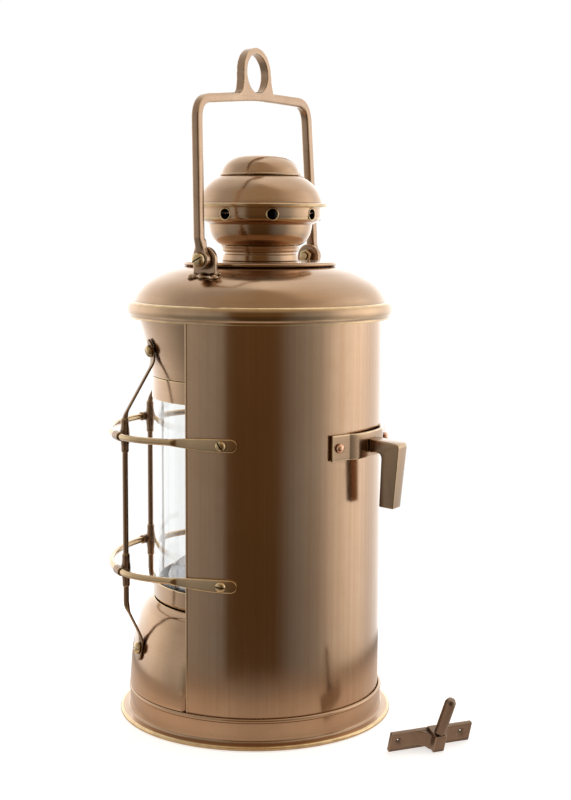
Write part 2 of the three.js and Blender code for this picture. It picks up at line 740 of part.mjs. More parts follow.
// Leans a piece made along +Z about the middle of the pin's seat in the block, and moves it there.
function leaned(geometry) {
  const seatZ = (block.low + block.high) / 2;
  return geometry.translate(0, 0, -seatZ).rotateY(rad(pinLean.sideways)).rotateX(rad(pinLean.forward))
    .translate(plate.length / 2, -pin.front, seatZ);
}

const wallPin = () => leaned(turned([
  [0, pin.low], [pin.shankR, pin.low], [pin.shankR, pin.shoulder], [pin.r, pin.shoulder],
  [pin.r, pin.top - 3.4], [pin.r * 0.66, pin.top - 0.6], [0, pin.top],
], 12));

add('wall_plate', wallPlate(), darkBrass, bracket);
add('wall_pin', wallPin(), darkBrass, bracket);

export default assembly;
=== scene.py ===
"""Brass oil lantern: the visible pieces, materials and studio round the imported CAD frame.

Shapes are worked out in millimetres, with the lantern's axis on Z, and stored in metres.
A profile is a list of [radius, height]; an angle is in degrees from +X towards +Y.
"""

import math

import bmesh
import bpy
import numpy as np
from mathutils import Matrix, Vector


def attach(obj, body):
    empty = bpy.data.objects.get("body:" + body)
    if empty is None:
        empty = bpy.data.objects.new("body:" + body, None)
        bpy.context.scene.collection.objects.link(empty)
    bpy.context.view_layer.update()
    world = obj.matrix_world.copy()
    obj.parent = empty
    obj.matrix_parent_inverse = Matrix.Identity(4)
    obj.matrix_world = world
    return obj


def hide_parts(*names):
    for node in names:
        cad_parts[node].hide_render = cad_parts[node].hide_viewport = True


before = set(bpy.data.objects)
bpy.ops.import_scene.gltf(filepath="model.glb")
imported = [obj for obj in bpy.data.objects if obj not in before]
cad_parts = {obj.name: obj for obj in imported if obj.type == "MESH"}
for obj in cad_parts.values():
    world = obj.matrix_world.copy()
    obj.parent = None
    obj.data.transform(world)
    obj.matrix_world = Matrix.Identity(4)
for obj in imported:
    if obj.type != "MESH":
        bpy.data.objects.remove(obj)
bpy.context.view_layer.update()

MM = 0.001
GAP = 0.3
Z_UP = Vector((0, 0, 1))

# ---------- camera ----------

CAMERA_SIDE = 31.9            # the camera stands this far round from +X
camera_dir = Vector((math.cos(math.radians(CAMERA_SIDE)), math.sin(math.radians(CAMERA_SIDE)), 0))
image_right = Vector((-camera_dir.y, camera_dir.x, 0))


def make_camera(place, lens, pitch, yaw, roll):
    ahead = (image_right * math.sin(yaw) - camera_dir * math.cos(yaw)) * math.cos(pitch)
    ahead.z = -math.sin(pitch)
    level = image_right * math.cos(yaw) + camera_dir * math.sin(yaw)
    upward = level.cross(ahead)
    right = level * math.cos(roll) + upward * math.sin(roll)
    up = upward * math.cos(roll) - level * math.sin(roll)
    data = bpy.data.cameras.new("Camera")
    data.lens, data.sensor_width = lens, 36
    camera = bpy.data.objects.new("Camera", data)
    bpy.context.scene.collection.objects.link(camera)
    turn = Matrix((right, up, -ahead)).transposed()
    camera.matrix_world = Matrix.Translation(place) @ turn.to_4x4()
    bpy.context.scene.camera = camera


make_camera((0.8437, 0.5252, 0.3374), 66.08, 0.1231, 0.0201, 0.0054)

# ---------- shapes ----------


def polar(r, angle, z=0.0):
    a = math.radians(angle)
    return Vector((r * math.cos(a), r * math.sin(a), z))


def smoothstep(low, high, x):
    t = min(max((x - low) / (high - low), 0), 1)
    return t * t * (3 - 2 * t)


def lerp(a, b, t):
    return a + (b - a) * t


def spline(points, step=0.8):
    """Points about `step` apart on a smooth curve through the given ones."""
    p = [np.array(q, float) for q in points]
    if len(p) < 3:
        return p
    p = [2 * p[0] - p[1], *p, 2 * p[-1] - p[-2]]
    made = []
    for a, b, c, d in zip(p, p[1:], p[2:], p[3:]):
        knots = [0.0]
        for u, v in ((a, b), (b, c), (c, d)):
            knots.append(knots[-1] + math.sqrt(np.linalg.norm(v - u)))
        t0, t1, t2, t3 = knots
        count = max(2, math.ceil(np.linalg.norm(c - b) / step))
        for k in range(count):
            t = lerp(t1, t2, k / count)
            ab = lerp(a, b, (t - t0) / (t1 - t0))
            bc = lerp(b, c, (t - t1) / (t2 - t1))
            cd = lerp(c, d, (t - t2) / (t3 - t2))
            abc, bcd = lerp(ab, bc, (t - t0) / (t2 - t0)), lerp(bc, cd, (t - t1) / (t3 - t1))
            made.append(lerp(abc, bcd, (t - t1) / (t2 - t1)))
    made.append(p[-2])
    return made


def soften(points, radius=0.35, closed=True, steps=4):
    """Rounds each corner of a polyline, and holds the round in place with a point on each side of it."""
    made = []
    for i, p in enumerate(points):
        if not closed and i in (0, len(points) - 1):
            made.append(p)
            continue
        to_last, to_next = points[i - 1] - p, points[(i + 1) % len(points)] - p
        sizes = [np.linalg.norm(to_last), np.linalg.norm(to_next)]
        cosine = float(to_last @ to_next) / (sizes[0] * sizes[1])
        turn = math.pi - math.acos(max(-1, min(1, cosine)))
        if turn < math.radians(20):
            made.append(p)
            continue
        reach = min(radius * math.tan(turn / 2), 0.45 * sizes[0], 0.45 * sizes[1])
        start, end = p + to_last / sizes[0] * reach, p + to_next / sizes[1] * reach
        if sizes[0] > 5 * reach:
            made.append(p + to_last / sizes[0] * reach * 1.9)
        for k in range(steps + 1):
            t = k / steps
            made.append(start * (1 - t) ** 2 + p * 2 * t * (1 - t) + end * t * t)
        if sizes[1] > 5 * reach:
            made.append(p + to_next / sizes[1] * reach * 1.9)
    return made


def profile(*parts, radius=0.35, step=0.8):
    """A closed outline from parts that meet at corners. A part of three or more points is curved."""
    points = []
    for part in parts:
        for p in spline(part, step):
            if not points or np.linalg.norm(p - points[-1]) > 1e-3:
                points.append(p)
    on_axis = points[0][0] < 1e-6 and points[-1][0] < 1e-6
    if not on_axis and np.linalg.norm(points[0] - points[-1]) < 1e-3:
        points.pop()
    return soften(points, radius, closed=not on_axis)


def shell(line, thick=1.0, radius=0.3, step=0.8):
    """The outline of a turned sheet: a curved outer line, and the same line moved inward."""
    outer = spline(line, step)
    inner = []
    for i, p in enumerate(outer):
        along = outer[min(i + 1, len(outer) - 1)] - outer[max(i - 1, 0)]
        along = along / np.linalg.norm(along)
        inner.append(p + thick * np.array([-abs(along[1]), along[0] * np.sign(along[1] or 1)]))
    return soften([*outer, *reversed(inner)], radius)


def lathe(points, sides=160, knurl=None):
    """Turns an outline about Z. knurl is (count, depth, low, high): grooves cut into its rim between two heights."""
    verts, rings = [], []
    for r, z in points:
        if r < 1e-6:
            rings.append([len(verts)])
            verts.append((0, 0, z))
            continue
        rings.append(range(len(verts), len(verts) + sides))
        for k in range(sides):
            a = 2 * math.pi * k / sides
            cut_in = 0
            if knurl and knurl[2] <= z <= knurl[3] and r > knurl[4]:
                cut_in = knurl[1] * (0.5 + 0.5 * math.cos(knurl[0] * a))
            verts.append(((r - cut_in) * math.cos(a), (r - cut_in) * math.sin(a), z))
    faces = []
    pairs = list(zip(rings, rings[1:]))
    if len(rings[0]) > 1 and len(rings[-1]) > 1:
        pairs.append((rings[-1], rings[0]))
    for low, high in pairs:
        for k in range(sides):
            j = (k + 1) % sides
            face = [low[k % len(low)], low[j % len(low)], high[j % len(high)], high[k % len(high)]]
            faces.append([v for n, v in enumerate(face) if v not in face[:n]])
    return verts, [f for f in faces if len(f) > 2]


def tube(points, wide, section, caps=True):
    """Sweeps a rounded section along points. section(i) is (half width, half thickness, power): power 2 is round."""
    count = 24
    verts, faces = [], []
    for i, p in enumerate(points):
        along = (points[min(i + 1, len(points) - 1)] - points[max(i - 1, 0)]).normalized()
        across = along.cross(wide(i) if callable(wide) else wide).normalized()
        sideways = across.cross(along)
        half_wide, half_thick, power = section(i)
        for k in range(count):
            c, s = math.cos(2 * math.pi * k / count), math.sin(2 * math.pi * k / count)
            u = half_wide * math.copysign(abs(c) ** (2 / power), c)
            v = half_thick * math.copysign(abs(s) ** (2 / power), s)
            verts.append(p + sideways * u + across * v)
    for i in range(len(points) - 1):
        for k in range(count):
            a, b = i * count + k, i * count + (k + 1) % count
            faces.append([a, b, b + count, a + count])
    if caps:
        faces += [list(range(count)), list(range(len(verts) - count, len(verts)))]
    return verts, faces


def rod(start, end, r, rounding=0.3, sides=32):
    """A cylinder between two points, with its rims rounded."""
    start, end = Vector(start), Vector(end)
    long = (end - start).length
    verts, faces = lathe(profile([(0, 0), (r, 0)], [(r, 0), (r, long)], [(r, long), (0, long)],
        radius=rounding), sides)
    turn = Z_UP.rotation_difference(end - start).to_matrix()
    return [turn @ Vector(v) + start for v in verts], faces


def prism(outline, low, high, place=None):
    """Extrudes an outline of (x, y) points from low to high, then applies the matrix `place`."""
    count = len(outline)
    verts = [Vector((x, y, z)) for z in (low, high) for x, y in outline]
    faces = [[k, (k + 1) % count, count + (k + 1) % count, count + k] for k in range(count)]
    faces += [list(range(count)), list(range(count, 2 * count))]
    if place is not None:
        verts = [place @ v for v in verts]
    return verts, faces


def block(low, high):
    return prism([(low[0], low[1]), (high[0], low[1]), (high[0], high[1]), (low[0], high[1])], low[2],
        high[2])


def moved(shape, matrix):
    verts, faces = shape
    return [matrix @ Vector(v) for v in verts], faces


# ---------- meshes ----------


def to_mesh(*shapes):
    """One mesh, in metres, from shapes in millimetres, with its faces turned outward."""
    bm = bmesh.new()
    for verts, faces in shapes:
        made = [bm.verts.new(Vector(v) * MM) for v in verts]
        for face in faces:
            bm.faces.new([made[k] for k in face])
    bmesh.ops.recalc_face_normals(bm, faces=bm.faces)
    mesh = bpy.data.meshes.new("made")
    bm.to_mesh(mesh)
    bm.free()
    return mesh


def with_modifiers(mesh, *settings):
    """The mesh after a stack of modifiers, each given as (type, its settings)."""
    holder = bpy.data.objects.new("holder", mesh)
    bpy.context.scene.collection.objects.link(holder)
    tools = []
    for kind, values in settings:
        modifier = holder.modifiers.new(kind, kind)
        for key, value in values.items():
            if key == "object":
                value = bpy.data.objects.new("tool", value)
                bpy.context.scene.collection.objects.link(value)
                tools.append(value)
            setattr(modifier, key, value)
    graph = bpy.context.evaluated_depsgraph_get()
    made = bpy.data.meshes.new_from_object(holder.evaluated_get(graph), depsgraph=graph)
    for extra in [holder, *tools]:
        bpy.data.objects.remove(extra)
    return made


def carve(mesh, *shapes):
    """Cuts shapes, in millimetres, out of a mesh."""
    for shape in shapes:
        mesh = with_modifiers(mesh, ("BOOLEAN", {"operation": "DIFFERENCE", "solver": "EXACT",
            "object": to_mesh(shape)}))
    return mesh


def unite(mesh, *shapes):
    for shape in shapes:
        mesh = with_modifiers(mesh, ("BOOLEAN", {"operation": "UNION", "solver": "EXACT",
            "object": to_mesh(shape)}))
    return mesh


def cast(shapes, voxel=0.5, rounds=6):
    """Fuses overlapping shapes into one casting with soft inner corners."""
    return with_modifiers(
        to_mesh(*shapes),
        ("REMESH", {"mode": "VOXEL", "voxel_size": voxel * MM}),
        ("SMOOTH", {"factor": 0.5, "iterations": rounds}),
    )


def bevel(mesh, width, segments=3, angle=35):
    return with_modifiers(mesh, ("BEVEL", {
        "width": width * MM, "segments": segments, "limit_method": "ANGLE",
        "angle_limit": math.radians(angle), "harden_normals": False,
    }))


def mark_edges(mesh):
    """Stores how convex the surface is at each vertex, per millimetre: edges are polished and corners keep patina."""
    bm = bmesh.new()
    bm.from_mesh(mesh)
    bend, area = np.zeros(len(bm.verts)), np.full(len(bm.verts), 1e-12)
    for edge in bm.edges:
        if len(edge.link_faces) == 2:
            turn = edge.calc_face_angle_signed(0.0) * edge.calc_length()
            for v in edge.verts:
                bend[v.index] += turn
    for face in bm.faces:
        share = face.calc_area() / len(face.verts)
        for v in face.verts:
            area[v.index] += share
    bm.free()
    curvature = np.clip(0.25 * bend / area * MM, -3, 3)
    mesh.attributes.new("edge", "FLOAT", "POINT").data.foreach_set("value", curvature.astype(np.float32))


def piece(node, mesh, material, body, place=None, sharp=40, sooty=None, dull=None):
    """Shows a fine mesh in place of a CAD node, in the given body and with the given material.

    `place` is baked into the mesh. sooty(r, z) and dull(r, z) say which points, in millimetres before placing, are
    smoked and which keep their patina on their edges.
    """
    mark_edges(mesh)
    spots = [(math.hypot(v.co.x, v.co.y) / MM, v.co.z / MM) for v in mesh.vertices]
    if sooty:
        soot = [1.0 if sooty(r, z) else 0.0 for r, z in spots]
        mesh.attributes.new("soot", "FLOAT", "POINT").data.foreach_set("value", soot)
    if dull:
        for spot, edge in zip(spots, mesh.attributes["edge"].data):
            edge.value *= 0.12 if dull(*spot) else 1
    if place is not None:
        mesh.transform(place)
    mesh.materials.clear()
    mesh.materials.append(material)
    mesh.shade_smooth()
    mesh.set_sharp_from_angle(angle=math.radians(sharp))
    made = bpy.data.objects.new(f"{node}_fine", mesh)
    mesh.name = made.name
    bpy.context.scene.collection.objects.link(made)
    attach(made, body)
    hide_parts(node)
    return made


# ---------- materials ----------


class Nodes:
    """Adds shader nodes to one material or world and links them."""

    def __init__(self, owner):
        owner.use_nodes = True
        self.tree = owner.node_tree
        self.tree.nodes.clear()

    def add(self, kind, **inputs):
        node = self.tree.nodes.new(f"ShaderNode{kind}")
        for key, value in inputs.items():
            name = key.replace("_", " ")
            if hasattr(node, key) and name not in node.inputs:
                setattr(node, key, value)
            else:
                self.set(node.inputs[name], value)
        return node

    def set(self, socket, value):
        if isinstance(value, bpy.types.NodeSocket):
            self.tree.links.new(value, socket)
        else:
            socket.default_value = value

    def math(self, operation, *values):
        node = self.tree.nodes.new("ShaderNodeMath")
        node.operation = operation
        for socket, value in zip(node.inputs, values):
            self.set(socket, value)
        return node.outputs[0]

    def ramp(self, value, *stops):
        """stops are (position, colour or level)."""
        node = self.tree.nodes.new("ShaderNodeValToRGB")
        self.set(node.inputs[0], value)
        elements = node.color_ramp.elements
        while len(elements) < len(stops):
            elements.new(0.5)
        for element, (position, colour) in zip(elements, stops):
            element.position = position
            element.color = (*colour, 1) if hasattr(colour, "__len__") else (colour, colour, colour, 1)
        return node.outputs["Color"]

    def mix(self, factor, a, b, blend="MIX"):
        node = self.tree.nodes.new("ShaderNodeMix")
        node.data_type, node.blend_type = "RGBA", blend
        for name, value in (("Factor_Float", factor), ("A_Color", a), ("B_Color", b)):
            socket = next(s for s in node.inputs if s.identifier == name)
            self.set(socket, (*value, 1) if isinstance(value, tuple) and len(value) == 3 else value)
        return next(s for s in node.outputs if s.identifier == "Result_Color")

    def noise(self, vector, scale, detail=3.0, roughness=0.5):
        node = self.tree.nodes.new("ShaderNodeTexNoise")
        self.set(node.inputs["Vector"], vector)
        for name, value in (("Scale", scale), ("Detail", detail), ("Roughness", roughness)):
            node.inputs[name].default_value = value
        return node.outputs["Fac"]

    def stretched(self, vector, scale):
        node = self.tree.nodes.new("ShaderNodeMapping")
        self.set(node.inputs["Vector"], vector)
        node.inputs["Scale"].default_value = scale
        return node.outputs["Vector"]

    def bump(self, height, distance, strength=1.0, normal=None):
        node = self.tree.nodes.new("ShaderNodeBump")
        self.set(node.inputs["Height"], height)
        node.inputs["Distance"].default_value = distance
        node.inputs["Strength"].default_value = strength
        if normal is not None:
            self.set(node.inputs["Normal"], normal)
        return node.outputs["Normal"]

    def finish(self, shader, surface="Material"):
        output = self.tree.nodes.new(f"ShaderNodeOutput{surface}")
        self.tree.links.new(shader.outputs[0], output.inputs["Surface"])


def grain(nodes, kind, place):
    """Fine marks left by making: drawn sheet has upright streaks, a spun piece has rings, a casting has pits."""
    if kind == "drawn":
        return nodes.noise(nodes.stretched(place, (900, 900, 9)), 1, 4, 0.6)
    if kind == "spun":
        split = nodes.add("SeparateXYZ", Vector=place)
        x, y, z = split.outputs
        flat = nodes.math("SQRT", nodes.math("ADD", nodes.math("MULTIPLY", x, x),
            nodes.math("MULTIPLY", y, y)))
        angle = nodes.math("ARCTAN2", y, x)
        rings = nodes.add("CombineXYZ", X=nodes.math("MULTIPLY", flat, 1500),
            Y=nodes.math("MULTIPLY", z, 1500),
                          Z=nodes.math("MULTIPLY", angle, 1.4))
        return nodes.noise(rings.outputs[0], 1, 3, 0.6)
    return nodes.noise(place, 700, 4, 0.65)


def metal(name, colour, deep, polished, roughness, kind="cast", patina=0.5, coat=0.25, blotch=0.35,
        worn=(0.22, 1.1)):
    """Aged metal: a tone that drifts, fine grain, dark specks, patina in concave corners, painted shade darkening
    crevices where nearby surfaces occlude the light, and bright worn edges. patina also sets how dark the painted
    shade is.
    """
    material = bpy.data.materials.new(name)
    nodes = Nodes(material)
    place = nodes.add("TexCoord").outputs["Object"]
    fine = grain(nodes, kind, place)
    drift = nodes.noise(place, 14, 4, 0.55)
    cloud = nodes.noise(place, 60, 5, 0.6)
    specks = nodes.ramp(nodes.noise(place, 420, 5, 0.7), (0.60, 0.0), (0.74, 1.0))
    edge = nodes.add("Attribute", attribute_name="edge").outputs["Fac"]
    worn_map = nodes.add("MapRange", Value=edge)
    worn_map.inputs["From Min"].default_value, worn_map.inputs["From Max"].default_value = worn
    rubbed = nodes.math("MULTIPLY", worn_map.outputs[0], nodes.ramp(nodes.noise(place, 150, 3), (0.25, 0.45),
        (0.6, 1.0)))
    corner_map = nodes.add("MapRange", Value=edge)
    corner_map.inputs["From Min"].default_value, corner_map.inputs["From Max"].default_value = -0.05, -0.6
    # Painted shade: ambient occlusion darkens the colour in crevices and between nearby parts, where shade falls.
    occlusion = nodes.tree.nodes.new("ShaderNodeAmbientOcclusion")
    occlusion.samples = 4
    occlusion.inputs["Distance"].default_value = 3.5 * MM
    painted_crevice_shade = nodes.ramp(occlusion.outputs["AO"], (0.35, 1.0), (0.8, 0.0))
    patina_and_painted_shade = nodes.math("MAXIMUM", corner_map.outputs[0], nodes.math("MULTIPLY", painted_crevice_shade, 0.8))

    tone = nodes.mix(nodes.ramp(drift, (0.36, 0.0), (0.66, blotch)), (*colour,), (*deep,))
    tone = nodes.mix(nodes.ramp(cloud, (0.42, 0.0), (0.75, blotch * 0.7)), tone, (*deep,))
    tone = nodes.mix(nodes.ramp(fine, (0.38, 0.0), (0.72, 0.20)), tone, (*deep,))
    tone = nodes.mix(nodes.math("MULTIPLY", specks, 0.35 * patina), tone, tuple(c * 0.35 for c in deep))
    # Darkens the colour by the patina in concave corners and by the painted crevice shade.
    tone = nodes.mix(nodes.math("MULTIPLY", patina_and_painted_shade, patina), tone, tuple(c * 0.3 for c in deep))
    tone = nodes.mix(nodes.math("MULTIPLY", rubbed, 0.85), tone, (*polished,))
    if kind == "drawn":
        streaks = nodes.noise(nodes.stretched(place, (330, 330, 2.5)), 1, 3, 0.7)
        tone = nodes.mix(nodes.ramp(streaks, (0.42, 0.0), (0.62, 0.35)), tone, (*deep,))
    soot = nodes.add("Attribute", attribute_name="soot").outputs["Fac"]
    tone = nodes.mix(soot, tone, (0.03, 0.018, 0.012))

    rough = nodes.math("ADD", roughness, nodes.math("MULTIPLY", nodes.math("SUBTRACT", fine, 0.5), 0.10))
    rough = nodes.math("ADD", rough, nodes.math("MULTIPLY", nodes.math("SUBTRACT", cloud, 0.5), 0.14))
    rough = nodes.math("ADD", rough, nodes.math("MULTIPLY", specks, 0.12))
    rough = nodes.math("ADD", rough, nodes.math("MULTIPLY", soot, 0.4))
    rough = nodes.math("ADD", rough, nodes.math("MULTIPLY", patina_and_painted_shade, 0.22 * patina))
    rough = nodes.math("MAXIMUM", nodes.math("SUBTRACT", rough, nodes.math("MULTIPLY", rubbed, 0.05)), 0.05)
    depth = {"drawn": 2.5e-6, "spun": 2.5e-6, "cast": 1.2e-5}[kind]
    normal = nodes.bump(fine, depth)
    if kind == "cast":
        normal = nodes.bump(nodes.noise(place, 120, 2), 9e-5, 1.0, normal)
    shader = nodes.add("BsdfPrincipled", Base_Color=tone, Metallic=1.0, Roughness=rough, Normal=normal,
                       Coat_Weight=coat, Coat_Roughness=0.08, Coat_IOR=1.5)
    nodes.finish(shader)
    return material


BROWN, DEEP, GOLD = (0.50, 0.335, 0.215), (0.40, 0.235, 0.125), (0.86, 0.63, 0.33)
drawn_brass = metal("DrawnBrass", BROWN, DEEP, GOLD, 0.17, "drawn")
spun_brass = metal("SpunBrass", (0.52, 0.345, 0.215), DEEP, GOLD, 0.18, "spun", worn=(0.05, 0.2))
cast_brass = metal("CastBrass", (0.46, 0.31, 0.20), (0.28, 0.16, 0.09), (0.80, 0.58, 0.36), 0.24, "cast",
    patina=0.8,
                   worn=(0.12, 0.8))
bar_brass = metal("BarBrass", (0.34, 0.215, 0.13), (0.20, 0.115, 0.06), (0.62, 0.43, 0.22), 0.30, "cast",
    patina=0.9)
rail_brass = metal("RailBrass", (0.54, 0.375, 0.215), (0.36, 0.225, 0.115), GOLD, 0.20, "cast", patina=0.6,
    worn=(0.1, 0.5))
strap_brass = metal("StrapBrass", (0.39, 0.255, 0.155), (0.30, 0.18, 0.095), (0.82, 0.62, 0.38), 0.21, "spun",
                    worn=(0.05, 0.35))
screw_brass = metal("ScrewBrass", (0.66, 0.49, 0.27), (0.46, 0.32, 0.15), (0.90, 0.71, 0.42), 0.20, "cast",
    patina=1.0)
lamp_brass = metal("LampBrass", (0.72, 0.50, 0.24), (0.55, 0.35, 0.15), (0.88, 0.68, 0.36), 0.18, "spun")
rivet_copper = metal("RivetCopper", (0.92, 0.52, 0.33), (0.66, 0.33, 0.19), (0.95, 0.64, 0.45), 0.24, "cast",
    patina=0.5)
tin = metal("TinPlate", (0.50, 0.49, 0.51), (0.38, 0.37, 0.38), (0.70, 0.69, 0.69), 0.26, "spun", coat=0.0)
bronze = metal("BracketBronze", (0.25, 0.17, 0.115), (0.13, 0.08, 0.055), (0.44, 0.30, 0.20), 0.36, "cast",
    patina=0.9)


def make_glass():
    material = bpy.data.materials.new("ClearGlass")
    nodes = Nodes(material)
    place = nodes.add("TexCoord").outputs["Object"]
    waves = nodes.bump(nodes.noise(nodes.stretched(place, (1, 1, 0.35)), 22, 2), 1.6e-4)
    film = nodes.ramp(nodes.noise(place, 40, 5, 0.6), (0.45, 0.0), (0.85, 0.06))
    shader = nodes.add("BsdfPrincipled", Base_Color=(0.975, 0.985, 0.98, 1), Roughness=film, Normal=waves,
                       IOR=1.47, Transmission_Weight=1.0)
    nodes.finish(shader)
    return material


def make_cotton():
    """A woven flat wick: plain weave, charred along its top edge."""
    material = bpy.data.materials.new("WickCotton")
    nodes = Nodes(material)
    place = nodes.add("TexCoord").outputs["Object"]
    x, _, z = nodes.add("SeparateXYZ", Vector=place).outputs
    warp = nodes.math("SINE", nodes.math("MULTIPLY", x, 2 * math.pi / (1.1 * MM)))
    weft = nodes.math("SINE", nodes.math("MULTIPLY", z, 2 * math.pi / (0.9 * MM)))
    weave = nodes.math("MULTIPLY", warp, weft)
    fluff = nodes.noise(place, 1600, 4, 0.7)
    burn = nodes.math("ADD", z, nodes.math("MULTIPLY", nodes.math("SUBTRACT", fluff, 0.5), 2.5 * MM))
    char = nodes.add("MapRange", Value=burn)
    char.inputs["From Min"].default_value, char.inputs["From Max"].default_value = 0.1335, 0.1358
    tone = nodes.mix(nodes.ramp(fluff, (0.3, 0.0), (0.7, 1.0)), (0.62, 0.56, 0.44), (0.82, 0.78, 0.68))
    tone = nodes.mix(char.outputs[0], tone, (0.03, 0.026, 0.022))
    height = nodes.math("ADD", nodes.math("MULTIPLY", weave, 0.6), fluff)
    shader = nodes.add("BsdfPrincipled", Base_Color=tone, Roughness=nodes.ramp(weave, (0.0, 0.82),
        (1.0, 0.95)),
                       Normal=nodes.bump(height, 2.0e-4), Sheen_Weight=0.3)
    nodes.finish(shader)
    return material


clear_glass = make_glass()
cotton = make_cotton()

# ---------- base and oil lamp ----------

CASING_R = 85.0
WIDE = 192


def turned(node, points, material, body, sides=WIDE, knurl=None, place=None, dull=None):
    return piece(node, to_mesh(lathe(points, sides, knurl)), material, body, place, dull=dull)


turned("base_pan", profile(
    [(0, 0), (91.4, 0)],
    [(91.4, 0), (92.6, 0.2), (93.3, 0.95), (93.4, 1.9), (92.9, 2.7), (92, 3.1), (91.2, 3.15)],
    [(91.2, 3.15), (88.2, 3.5)], [(88.2, 3.5), (87.2, 4.2), (86.9, 5.6), (86.8, 8)],
    [(86.8, 8), (86.6, 16.1)],
    [(86.6, 16.1), (87.15, 16.7), (87.3, 17.6), (87, 18.5), (86.3, 18.95), (85.6, 18.85), (85.3, 18.3)],
    [(85.3, 18.3), (85.3, 8.1)], [(85.3, 8.1), (82.2, 8.1)], [(82.2, 8.1), (82.2, 2.4)],
    [(82.2, 2.4), (0, 2.4)],
    radius=0.3, step=0.45,
), spun_brass, "base", dull=lambda r, z: z > 6)

turned("fount", profile(
    [(0, 2.8), (61.4, 2.8)],
    [(61.4, 2.8), (62, 3.6), (62, 5.6), (61.4, 6.4)], [(61.4, 6.4), (61.4, 84.6)],
    [(61.4, 84.6), (62, 85.3), (62, 87.2), (61.5, 88)],
    [(61.5, 88), (61.1, 92), (59.4, 96.6), (55.5, 100.8), (48.8, 104.2), (41, 105.8), (36, 106)],
    [(36, 106), (16, 106)],
    [(16, 106), (16, 105)], [(16, 105), (40, 105), (48, 103.4), (54.6, 100), (58.6, 95.8), (60.4, 88)],
    [(60.4, 88), (60.4, 3.8)], [(60.4, 3.8), (0, 3.8)],
    radius=0.4,
), tin, "base", 128)

turned("filler_cap", profile(
    [(0, 106.4), (8, 106.4)], [(8, 106.4), (8, 111.6)], [(8, 111.6), (6.9, 112.5)],
    [(6.9, 112.5), (5.4, 112.6)],
    [(5.4, 112.6), (5.1, 112.1)], [(5.1, 112.1), (0, 112.3)], radius=0.2,
), lamp_brass, "filler_cap", 168, (28, 0.45, 106.9, 111.7, 7.5),
    Matrix.Translation((-0.027, 0.027, 0)))

turned("burner_collar", profile(
    [(8, 106.3), (19, 106.3)], [(19, 106.3), (19, 108.3)], [(19, 108.3), (8, 108.3)],
    [(8, 108.3), (8, 106.3)],
    radius=0.35,
), lamp_brass, "base", 180, (45, 0.35, 106.7, 107.9, 18.2))

turned("burner_body", profile(
    [(8, 108.6), (15.2, 108.6)], [(15.2, 108.6), (15.2, 117)], [(15.2, 117), (16.6, 118.3), (21.2, 119.1)],
    [(21.2, 119.1), (22, 119.9), (22, 121.5), (21.4, 122.4)], [(21.4, 122.4), (18.5, 122.4)],
    [(18.5, 122.4), (18, 120.4)], [(18, 120.4), (13.6, 119.2)], [(13.6, 119.2), (13.6, 110)],
    [(13.6, 110), (8, 110)],
    [(8, 110), (8, 108.6)], radius=0.25, step=0.5,
), lamp_brass, "base", 216, (54, 0.4, 119.4, 122.0, 21.0))

cone = to_mesh(lathe(shell([(18, 122.9), (18.2, 126), (17.6, 131), (15.2, 136.4), (9, 141.4), (3, 142.7),
    (0.3, 142.8)]), 96))
piece("burner_cone", carve(cone, block((-12, -2.6, 132), (12, 2.6, 150))), lamp_brass, "base")


def rounded_box(half_x, half_y, radius=0.6):
    corners = [(half_x, half_y), (-half_x, half_y), (-half_x, -half_y), (half_x, -half_y)]
    return [tuple(p) for p in soften([np.array(c, float) for c in corners], radius)]


wick_tube = carve(to_mesh(prism(rounded_box(8.6, 2.2, 1.2), 110.4, 134)),
    prism(rounded_box(7.8, 1.5, 0.8), 100, 150))
piece("wick_tube", bevel(wick_tube, 0.15, 2, 60), lamp_brass, "base")

wick_line = [Vector((0, 0, z)) for z in np.linspace(60, 136.5, 90)]
piece("wick", to_mesh(tube(wick_line, Vector((1, 0, 0)), lambda i: (
    7.4 - 0.15 * (i % 2), 1.1 - (0.35 if i == 89 else 0), 5))), cotton, "wick")


def along_x(x, z):
    """A place for a piece made along +Z: pointing along +X, from a point on the XZ plane."""
    return Matrix.Translation((x * MM, 0, z * MM)) @ Matrix.Rotation(math.pi / 2, 4, "Y")


turned("wick_knob", profile(
    [(0, 0), (1.4, 0)], [(1.4, 0), (1.4, 15.2)], [(1.4, 15.2), (3.2, 15.6), (3.2, 17.4)],
    [(3.2, 17.4), (6.5, 17.4)], [(6.5, 17.4), (6.5, 20.9)], [(6.5, 20.9), (4.8, 20.9)],
    [(4.8, 20.9), (4.4, 20.4)],
    [(4.4, 20.4), (0, 20.4)], radius=0.2,
), lamp_brass, "wick_knob", 160, (32, 0.4, 17.7, 20.7, 6.0), along_x(15.6, 114.5))

# ---------- casing, skirts and glass ----------

def lower_skirt():
    """A spun shoulder, stepped in where the casing covers it."""
    verts, faces = lathe(shell([
        (84.9, 8.4), (84.9, 18.7), (85.3, 19.15), (86.6, 19.35), (86.7, 20), (86.5, 24), (86.1, 30),
        (85.5, 38),
        (84.4, 47),
        (82.8, 55), (80.7, 63), (78.3, 70.4), (74.9, 76.1), (69.9, 79.9),
    ], thick=2), WIDE)
    under_casing = CASING_R - 1 - GAP
    fitted = []
    for x, y, z in verts:
        r = math.hypot(x, y)
        inset = under_casing / r if y > -GAP and r > under_casing else 1
        fitted.append((x * inset, y * inset, z))
    return to_mesh((fitted, faces))


piece("lower_skirt", lower_skirt(), spun_brass, "lantern", dull=lambda r, z: z < 30)
turned("upper_skirt", shell([
    (70.6, 232.4), (71.8, 241), (73.2, 248), (75.4, 256), (78, 265), (80.4, 271.5), (83.2, 275.5),
]), spun_brass, "lantern")

